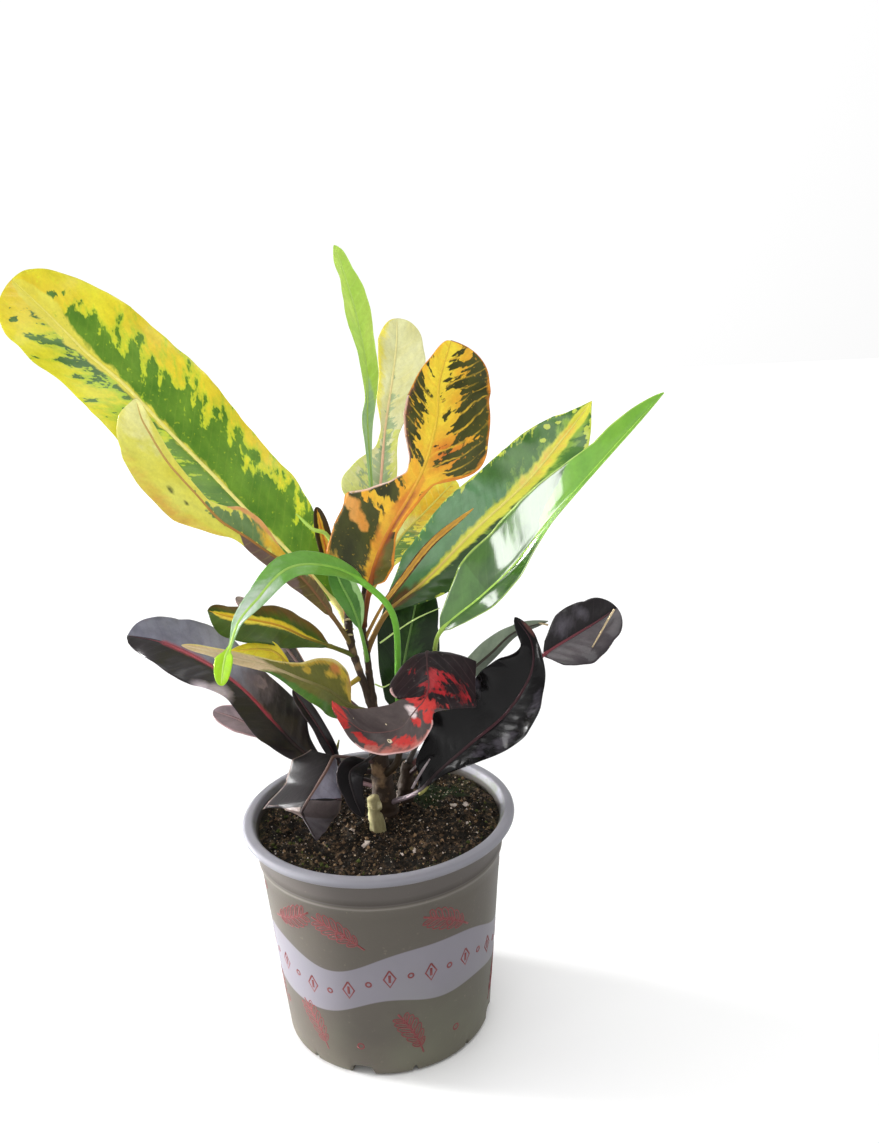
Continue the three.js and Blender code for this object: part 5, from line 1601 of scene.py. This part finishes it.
leaf("upper", "back_yellow", "leaf_yellow", "yellow_green", "main", 195,
     rib=[[6, 19, 202], [17, 42, 214], [31, 62, 222], [47, 78, 233]], face=[-0.2, -0.9, 0.3],
     left=[(1, 1), (1.5, 1.5), (2, 2.5), (2.5, 3.5), (2.75, 5), (3, 6.5), (3.5, 8.2), (4, 7.5)],
     right=[1.5, 9, 9.5, 0], wave=1, waves=2)
leaf("upper", "upright_dark", "leaf_green", "dark_striped", "side", 191,
     rib=[[-13, 3, 207], [-16, 4, 224], [-18, 4, 238]], face=[0.2, -1, 0.2], left=[1.5, 3, 0],
     right=[1.5, 3.5, 0], keel=0.2, stalk=0.8)
leaf("upper", "thread_lime", "leaf_lime", "lime", "side", 197,
     rib=[[-9, 3, 209], [-14, 1, 226], [-20, -1, 230], [-26, -3, 237]], face=[0, -1, 0.2],
     left=[0.7, 0.7, 0.6, 0], right=[0.7, 0.7, 0.6, 0], blunt=0.8, stalk=0.6)
leaf("middle", "interrupted", "leaf_lime", "arch", "main", 116, start=4,
     rib=[[10, -8, 130], [11, -9, 160], [11, -13, 193], [0, -18, 210], [-13, -26, 220], [-28, -36, 223],
          [-39, -46, 214], [-49, -55, 200], [-52, -58, 196], [-54, -60, 187]],
     face=[[0.2, -0.8, 0.6], [0.2, -0.8, 0.6], [0.2, -0.8, 0.6], [0.1, -0.8, 0.6], [0, -0.7, 0.8],
           [-0.2, -0.8, 0.7], [-0.4, -0.8, 0.5], [-0.6, -0.8, 0.3], [-0.4, -0.9, 0.2], [-0.2, -1, 0.1]],
     left=[0, 0, 0, 1.5, 5, 5.5, 3.8, 1, 3.5, 0], right=[0, 0, 0, 1.5, 5, 6, 4.5, 1, 3.5, 0],
     shift=[(6, 0), (7, 1), (7.5, 3.3), (8, 1), (9, 0)], keel=0.15, stalk=1.5)
leaf("middle", "small_green", "leaf_green", "small_green", "main", 170,
     rib=[[-3, -4, 186], [-6, -6, 198], [-10, -7, 208], [-12, -7, 215]], face=[0.2, -1, 0.2],
     left=[1, 4, 4.5, 0], right=[1, 5, 5, 0], keel=0.2, stalk=0.9)
leaf("middle", "small_banded", "leaf_green", "dark_banded", "side", 174,
     rib=[[-16, -4, 180], [-25, -7, 185], [-35, -13, 193], [-44, -19, 198], [-54, -24, 202],
          [-61, -28, 206]], face=[0.1, -0.7, 0.8], left=[1.5, 4.5, 10, 12, 10.5, 0],
     right=[1.5, 7.5, 8.5, 6, 4.5, 0], keel=0.1, wave=0.6, waves=2)
leaf("middle", "curled_tan", "leaf_tan", "tan", "main", 147,
     rib=[[-9, -12, 156], [-18, -20, 167], [-28, -29, 176], [-38, -38, 185], [-49, -46, 192],
          [-59, -52, 198], [-67, -56, 202]], face=[0.1, -0.8, 0.6],
     left=[(1, 6), (1.5, 8.8), (2, 9.2), (2.5, 8), (3, 5.6), (3.5, 3.7), (4, 2.5), (5, 2.5), (6, 1.5),
           (7, 1.5)],
     right=[(1, 5), (1.5, 10.5), (2, 13.3), (2.5, 10.7), (3, 6.5), (3.5, 4.1), (4, 2.5), (5, 2.5),
            (6, 1.5), (7, 1.5)], blunt=0.7, wave=0.5, waves=2)
leaf("middle", "small_yellow", "leaf_yellow", "small_yellow", "side", 164, start=2,
     rib=[[-22, -10, 158], [-31, -21, 171], [-36, -27, 182], [-42, -31, 186], [-53, -34, 187]],
     face=[0.1, -0.8, 0.6], left=[0, 2, 5, 6, 0],
     right=[(2, 0.8), (2.75, 1), (3, 1.7), (3.25, 2.6), (3.5, 3.6), (4, 3.5), (4.5, 2.9), (5, 2.5)],
     shift=[(1, 0), (2.5, 2), (3.5, 4), (5, 4)], blunt=0.6, stalk=0.9)
leaf("middle", "back_green", "leaf_green", "back_green", "main", 129,
     rib=[[10, 9, 143], [15, 16, 163], [20, 25, 179], [25, 34, 195]], face=[0, -1, 0.2],
     left=[4.5, 11.5, 14, 0], right=[6, 14, 11.5, 0], keel=0.1, wave=0.8, waves=2)
leaf("dark", "dark_left", "leaf_dark", "dark_long", "main", 119,
     rib=[[-18, 0, 122], [-32, 4, 130], [-43, 8, 142], [-57, 15, 157], [-72, 22, 167], [-91, 30, 175],
          [-108, 36, 178]], face=[0.2, -0.7, 0.7],
     left=[(1, 0), (2, 5.5), (3, 11), (4, 8), (5, 12.5), (5.5, 13), (6, 11), (6.5, 8.5), (7, 8)],
     right=[0, 6.5, 14, 12, 16, 13, 0], keel=0.1, wave=1, waves=4, stalk=1.2)
leaf("dark", "dark_left_low", "leaf_dark", "dark_grey", "main", 107,
     rib=[[-26, 20, 110], [-50, 35, 121], [-63, 43, 129], [-76, 50, 133]], face=[0.1, -0.8, 0.6],
     left=[(1, 1), (2, 2.5), (2.6, 5.2), (3, 6.2), (4, 6)], right=[1.5, 5.8, 5.8, 0],
     shift=[(1, 3), (2, 4), (3, 1), (4, 0)], keel=0.1)
leaf("dark", "dark_slender", "leaf_dark", "dark", "main", 113,
     rib=[[-14, 3, 119], [-20, 4, 131.5], [-24.6, 5, 141], [-30, 6, 150.5], [-34, 6, 158]],
     face=[0.2, -0.9, 0.4], left=[1, 3.2, 2.6, 2.5, 0], right=[1, 2.6, 3, 3, 0], blunt=0.6, keel=0.2,
     stalk=0.9)
leaf("dark", "dark_crumpled", "leaf_dark", "crumpled", "main", 123, start=2,
     rib=[[-9, -7, 130], [-18, -8, 132], [-21, -14, 129], [-26, -21, 124], [-29, -27, 122],
          [-32, -29, 118], [-30.5, -26, 112], [-27, -19, 98.5]], face=[0, -0.7, 0.8], creased=True,
     margins=[[[-17, -7, 129], [-28, -2, 133]], [[-16, -12, 125], [-36, 0, 128]],
              [[-15, -19, 122], [-40, -5, 120]], [[-15, -25, 120], [-50, -10, 111]],
              [[-16, -19, 111], [-43, -16, 114]], [[-20, -15, 104], [-32, -27, 116]],
              [[-26, -19, 100], [-28, -19, 100]]], quilt=0.1, loose=1.2, frill=1.2, stalk=0.8)
leaf("dark", "dark_hanging", "leaf_dark", "ribbon", "main", 129,
     rib=[[-4, -15, 132], [-11, -21, 130], [-10, -24, 121], [-7, -26, 112]],
     face=[[-0.2, -0.6, 0.8], [-0.3, -0.8, 0.5], [-0.3, -0.9, 0.3], [-0.3, -0.9, 0.2]],
     left=[3.5, 6.5, 4, 0], right=[3.5, 5.5, 4, 0], blunt=0.7, keel=0.2, stalk=0.9)
leaf("dark", "red_twisted", "leaf_red", "red", "dark", 111, start=4,
     rib=[[22, -2, 126], [29, -8, 146], [28, -8, 163], [24, -14, 178], [23, -22, 175], [23, -28, 170],
          [22, -31, 167], [20, -33, 164], [18, -33, 162], [15, -32, 158], [11, -31, 153], [4, -30, 151],
          [-4, -30, 152], [-10, -30, 157], [-16, -31, 164]], face=[0, -1, 0.3],
     margins=[[[43.5, -18, 174], [12, -17, 171]], [[42, -24, 167], [8, -22, 168]],
              [[42, -27, 162], [8, -26, 166]], [[41, -28, 158], [11, -28, 164]],
              [[32, -30, 159], [13, -31, 165]], [[24, -33, 159], [13, -31, 165]],
              [[23, -35, 154], [10, -30, 164]], [[17, -37, 147], [6, -29, 162]],
              [[8, -38, 145], [0, -28, 161]], [[-1, -38, 146], [-7, -28, 161]],
              [[-9, -36, 151], [-12, -29, 163]], [[-15, -33, 162], [-16, -30, 166]]], quilt=0.12,
     loose=0.8, frill=0.6, stalk=1.0, ribbed=0.1)
leaf("dark", "dark_cupped", "leaf_dark", "cupped", "main", 103, start=1.4,
     rib=[[17, -12, 114], [27, -13, 124], [40, -17, 137], [55, -22, 152], [65, -24, 169], [66, -22, 182],
          [60, -18, 192]], face=[-0.2, -0.85, 0.5],
     left=[(1.4, 4), (1.7, 9), (2, 11.5), (2.5, 16.5), (3, 20.3), (3.5, 18.8), (4, 19), (4.5, 18),
           (5, 15.5), (5.5, 13), (5.75, 7.5), (6, 4.4), (7, 4)],
     right=[(1.4, 1), (2, 2.5), (2.5, 5.3), (3, 8.5), (3.5, 11.2), (4, 12.6), (4.5, 10.6), (4.7, 8),
            (5, 6.2), (5.5, 3.8), (6, 2.4), (7, 3.2)], blunt=0.7, cup=0.2, wave=2.0, waves=4)
leaf("dark", "dark_oval", "leaf_dark", "dark_oval", "dark", 115, start=3,
     rib=[[44, 18, 135], [59, 24, 144], [81, 33, 156], [96, 39, 162], [110, 45, 167], [120, 48, 172]],
     face=[-0.1, -0.8, 0.6], left=[0, 0, 3, 12.8, 11.3, 0],
     right=[(3, 7), (3.5, 13), (4, 16.5), (4.5, 15), (5, 12), (6, 11)], keel=0.1)
leaf("dark", "dark_back", "leaf_green", "grey_green", "dark", 118, start=2,
     rib=[[26, 27, 130], [43, 40, 144], [58, 48, 153], [71, 54, 161], [89, 62, 163]],
     face=[-0.2, -0.9, 0.3], left=[0, 4, 6.5, 3.5, 0], right=[0, 3.5, 3, 2, 0], blunt=0.9)
leaf("dark", "dark_behind", "leaf_dark", "dark_grey", "main", 142, start=2,
     rib=[[-16, 13, 154], [-28, 21, 159], [-38, 30, 170], [-48, 40, 180], [-60, 49, 189]],
     face=[0.1, -0.8, 0.6], left=[0, 2, 4, 4, 0], right=[0, 2, 4, 4, 0], stalk=0.9)


# ---- leaf shapes ----

VEIN_PITCH = 5.2           # between two side veins, along the midrib
VEIN_LEAN = 0.7            # how far towards the tip a side vein runs for each millimetre outwards
NUDGE = 0.01               # a short way along the midrib, for its direction
SHEET_NUDGE = 0.05
SOFTENING = (-0.08, -0.04, 0, 0.04, 0.08)
BARE_WIDTH = 8.0           # the half width that stands for a blade drawn by its margins
LEAST_WIDTH = 0.12
SHEET_STEP = 0.6           # how much closer the rows of such a blade lie
RIB_STEP = 2.0             # between the rows of a midrib's mesh
RIB_SIDES = 10


def point_at_height(stem, height):
    """The point of a stem's middle line at a height."""
    spots = [spline(stem, (len(stem) - 1) * k / 400) for k in range(401)]
    return min(spots, key=lambda spot: abs(spot[2] - height))[:3]


def straight(rows, u):
    """A point of the line that runs straight from one row to the next."""
    i = min(int(u), len(rows) - 2)
    return [a + (b - a) * (u - i) for a, b in zip(rows[i], rows[i + 1])]


def softened(table, u):
    """The value at u in a table, with its corners rounded off."""
    return sum(between(table, u + off) for off in SOFTENING) / len(SOFTENING)


class LeafForm:
    """One leaf: its midrib as a curve from the stem to the tip, and its blade at each point of it."""

    def __init__(self, leaf):
        rib, face = leaf["rib"], leaf["face"]
        faces = face if isinstance(face[0], list) else [face] * len(rib)
        self.leaf = leaf
        self.drawn = "margins" in leaf
        self.line = straight if leaf.get("creased") else spline
        self.rib = [point_at_height(STEMS[leaf["stem"]], leaf["at"]), *rib]
        self.face = [faces[0], *faces]
        self.start = leaf.get("start", 1)
        self.last = len(rib)
        self.seed = sum(ord(letter) for letter in leaf["name"]) % 97

    def share(self, u):
        """How far along the blade a point is: 0 at its base and 1 at its tip."""
        return (u - self.start) / (self.last - self.start)

    def plain(self, u):
        """A point of the midrib before it is shifted."""
        return Vector(self.line(self.rib, u))

    def here(self, u):
        """A point of the midrib where it is."""
        shift = softened(self.leaf["shift"], u) if "shift" in self.leaf else 0
        if not shift:
            return self.plain(u)
        along = self.plain(min(u + NUDGE, self.last)) - self.plain(max(u - NUDGE, 0))
        return self.plain(u) + along.cross(Vector(spline(self.face, u))).normalized() * shift

    def half_width(self, side, u):
        """The blade's half width on its left or right side."""
        if self.drawn:
            return BARE_WIDTH
        widths = self.leaf[side]
        body = min(u, self.last - 1)
        if isinstance(widths[0], tuple):
            width = softened(widths, u)
        else:
            width = spline([[width] for width in (0, *widths)], body)[0]
        beyond = u - body
        if not beyond:
            return max(width, 0)
        return width * max(1 - beyond * beyond, 0) ** self.leaf.get("blunt", 0.5)

    def frame(self, u):
        """A point of the midrib, with the directions across the blade and out of its upper side."""
        along = (self.here(min(u + NUDGE, self.last)) - self.here(max(u - NUDGE, 0))).normalized()
        across = along.cross(Vector(spline(self.face, u))).normalized()
        return self.here(u), across, across.cross(along)

    def length(self, low, high, steps=80):
        spots = [self.here(low + (high - low) * k / steps) for k in range(steps + 1)]
        return sum((b - a).length for a, b in zip(spots, spots[1:]))

    def rows(self, step):
        """Where the blade's rows lie: evenly along it, and closing up round the tip."""
        body_end = self.last - 1
        rows = []
        for k in range(int(self.start), body_end):
            count = max(2, round(self.length(k, k + 1) / step))
            rows += [k + c / count for c in range(count)]
        count = max(9, round(1.3 * self.length(body_end, self.last) / step))
        rows += [body_end + math.sin(math.pi / 2 * c / count) for c in range(count + 1)]
        return rows

    def sheet(self, t, u):
        """A place of a blade drawn by its margins: t is -1 at the left one and 1 at the right one."""
        left, right = (Vector(self.line([pair[side] for pair in self.leaf["margins"]], u - self.start))
                       for side in (0, 1))
        middle = self.plain(u)
        if self.leaf.get("creased"):
            return middle.lerp(left if t < 0 else right, abs(t))
        return middle + (right - left) / 2 * t + (right + left - 2 * middle) / 2 * t * t

    def sheet_row(self, u, signed):
        """The places across a blade drawn by its margins, with the width and normal at each."""
        row = []
        before, after = max(u - SHEET_NUDGE, self.start), min(u + SHEET_NUDGE, self.last)
        for t in signed:
            sideways = self.sheet(min(t + SHEET_NUDGE, 1), u) - self.sheet(max(t - SHEET_NUDGE, -1), u)
            ahead = self.sheet(t, after) - self.sheet(t, before)
            width = (self.sheet(-1 if t < 0 else 1, u) - self.sheet(0, u)).length
            row.append((self.sheet(t, u), max(width, 0.1), sideways.cross(ahead).normalized()))
        return row

    def strip_row(self, u, signed, distance):
        """The same across a blade drawn by its half widths."""
        here, across, normal = self.frame(u)
        row = []
        for t in signed:
            width = max(self.half_width("left" if t < 0 else "right", u), LEAST_WIDTH)
            width = max(width * smooth_step(-2.0, 5.0, distance), min(width, 0.6))
            width *= 1 + 0.025 * noise.noise(Vector((distance * 0.12, self.seed, 1.0 if t > 0 else 5.0)))
            row.append((here + across * (width * t), width, normal))
        return row

    def add_blade(self, shell, thickness, step, columns, coats):
        """The blade, with how far each point lies inside each coat, and its place among the veins."""
        reaches = [0.5 * (c / columns) ** 1.4 + 0.5 * (1 - (1 - c / columns) ** 1.5)
                   for c in range(columns + 1)]
        signed = [-reach for reach in reversed(reaches[1:])] + reaches
        middle = []
        distance = 0.0
        before = None
        for u in self.rows(step * SHEET_STEP if self.drawn else step):
            distance += (self.here(u) - before).length if before else 0.0
            before = self.here(u)
            share = self.share(u)
            row = []
            places = self.sheet_row(u, signed) if self.drawn else self.strip_row(u, signed, distance)
            for t, (place, width, normal) in zip(signed, places):
                vein = distance - VEIN_LEAN * abs(t) * width * (1 + 0.25 * abs(t))
                values = {f"coat_{number}": coat_gap(layer, t, share) for number, layer in enumerate(coats)}
                values.update(vein=vein, across=width * t, run=u / self.last)
                row.append((place + normal * self.rise(t, width, share, vein, distance), values))
            middle.append(row)
        self.add_loops(shell, middle, thickness)

    def rise(self, t, width, share, vein, distance):
        """How far a point of the blade stands above the plane of its midrib."""
        get = self.leaf.get
        reach = abs(t)
        right = t > 0
        swing = math.sin(2 * math.pi * get("waves", 0) * share + (1.3 if right else 0))
        rise = get("keel", 0) * width * reach + get("cup", 0) * width * t * t
        rise += get("wave", 0) * swing * t * t * min(1, width / 6)
        window = math.sin(math.pi * min(reach * 1.05, 1)) * min(1, width / 8)
        rise += get("quilt", 0.16) * (0.5 - 0.5 * math.cos(2 * math.pi * vein / VEIN_PITCH)) * window
        rise -= 0.25 * math.exp(-(reach * width / 0.9) ** 2) * min(1, width / 5)
        loose = noise.noise(Vector((distance * 0.07, t * 0.9, self.seed * 1.7)))
        frill = noise.noise(Vector((distance * 0.2, 3.0 if right else 8.0, self.seed * 0.9)))
        bend = get("loose", 0.9) * loose * reach + get("frill", 0.5) * frill * reach ** 3
        return rise + bend * min(1, width / 8)

    def add_loops(self, shell, middle, thickness):
        """A loop round each row of the blade: over its upper face, round a margin and back underneath."""
        last_row, last_column = len(middle) - 1, len(middle[0]) - 1
        loops = []
        for k, row in enumerate(middle):
            upper, under = [], []
            for c, (place, values) in enumerate(row):
                ahead = middle[min(k + 1, last_row)][c][0] - middle[max(k - 1, 0)][c][0]
                sideways = row[min(c + 1, last_column)][0] - row[max(c - 1, 0)][0]
                outward = sideways.cross(ahead).normalized()
                half = thickness / 2 * (0.55 if c in (0, last_column) else 1)
                upper.append(shell.point(place + outward * half, upper=1.0, **values))
                under.append(shell.point(place - outward * half, upper=0.0, **values))
            edges = []
            for c, inner in ((last_column, last_column - 1), (0, 1)):
                place, values = row[c]
                outward = (place - row[inner][0]).normalized() * thickness * 0.35
                edges.append(shell.point(place + outward, upper=0.5, **values))
            loops.append(upper + [edges[0]] + under[::-1] + [edges[1]])
        shell.loft(loops)

    def add_rib(self, shell):
        """The stalk, which goes on under the blade as its midrib and thins out to the tip."""
        radius = self.leaf.get("stalk", 1.1)
        count = max(24, round(self.length(0, self.last, 200) / RIB_STEP))
        rows, runs = [], []
        for k in range(count + 1):
            u = (self.last - 0.03) * k / count
            here, _, normal = self.frame(u)
            if self.drawn and u >= self.start:
                here, _, normal = self.sheet_row(u, [0])[0]
            share = self.share(u)
            if share < 0:
                foot = math.exp(-(u / self.start) * 9)
                thick = radius * (0.86 + 0.14 * (1 - u / self.start) + 0.5 * foot)
                sink = 0.0
            else:
                thick = radius * 0.86 * (1 - share) ** 0.8 + 0.14
                width = max(self.half_width(side, u) for side in ("left", "right"))
                sink = max(thick - self.leaf.get("ribbed", 0.42), 0)
                sink *= smooth_step(0, 0.06, share) * min(1, width / 3)
            rows.append([*(here - normal * sink), thick])
            runs.append(u / self.last)
        add_tube(shell, rows, RIB_SIDES, material=1, run=runs)


def grow(context, group):
    """Builds the leaves of a group. Leaves of one style share its two materials."""
    settings = context.scene.croton.leaf
    for leaf in LEAVES[group]:
        form = LeafForm(leaf)
        style = leaf["style"]
        shell = Shell()
        form.add_blade(shell, settings.thickness / MM, settings.row_step / MM, settings.columns,
                       STYLES[style]["coats"])
        form.add_rib(shell)
        blade = bpy.data.materials.get("blade_" + style) or leaf_material(style, form.seed * 1.3)
        rib = bpy.data.materials.get("rib_" + style) or rib_material(style)
        shell.build("grown_" + leaf["name"], leaf["slot"], [blade, rib], nodes=["leaf_" + leaf["name"]])


class CROTON_OT_grow_upper_leaves(bpy.types.Operator):
    """Grow the tall variegated leaves"""
    bl_idname = "croton.grow_upper_leaves"
    bl_label = "Grow the Upper Leaves"

    def execute(self, context):
        grow(context, "upper")
        return {"FINISHED"}


class CROTON_OT_grow_middle_leaves(bpy.types.Operator):
    """Grow the small leaves at the middle of the plant"""
    bl_idname = "croton.grow_middle_leaves"
    bl_label = "Grow the Middle Leaves"

    def execute(self, context):
        grow(context, "middle")
        return {"FINISHED"}


class CROTON_OT_grow_dark_leaves(bpy.types.Operator):
    """Grow the low dark leaves"""
    bl_idname = "croton.grow_dark_leaves"
    bl_label = "Grow the Dark Leaves"

    def execute(self, context):
        grow(context, "dark")
        return {"FINISHED"}


# ---- panel ----

OPERATORS = (
    CROTON_OT_set_stage,
    CROTON_OT_build_pot,
    CROTON_OT_print_pot,
    CROTON_OT_build_soil,
    CROTON_OT_build_stems,
    CROTON_OT_lay_twigs,
    CROTON_OT_grow_upper_leaves,
    CROTON_OT_grow_middle_leaves,
    CROTON_OT_grow_dark_leaves,
)


class CROTON_PT_builder(bpy.types.Panel):
    """The steps that build the potted croton"""
    bl_idname = "CROTON_PT_builder"
    bl_label = "Potted Croton"
    bl_space_type = "VIEW_3D"
    bl_region_type = "UI"
    bl_category = "Croton"

    def draw(self, context):
        settings = context.scene.croton
        for operator in OPERATORS:
            self.layout.operator(operator.bl_idname)
        for group in (settings.stage, settings.pot, settings.soil, settings.leaf):
            for name in group.bl_rna.properties.keys():
                if name not in ("rna_type", "name"):
                    self.layout.prop(group, name)


CLASSES = (StageSettings, PotSettings, SoilSettings, LeafSettings, CrotonSettings, *OPERATORS,
           CROTON_PT_builder)


def register():
    for item in CLASSES:
        bpy.utils.register_class(item)
    bpy.types.Scene.croton = bpy.props.PointerProperty(type=CrotonSettings)


def unregister():
    del bpy.types.Scene.croton
    for item in reversed(CLASSES):
        bpy.utils.unregister_class(item)


def main():
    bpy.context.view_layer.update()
    register()
    bpy.ops.croton.set_stage()
    bpy.ops.croton.build_pot()
    bpy.ops.croton.print_pot()
    bpy.ops.croton.build_soil()
    bpy.ops.croton.build_stems()
    bpy.ops.croton.lay_twigs()
    bpy.ops.croton.grow_upper_leaves()
    bpy.ops.croton.grow_middle_leaves()
    bpy.ops.croton.grow_dark_leaves()


if __name__ == "__main__":
    main()
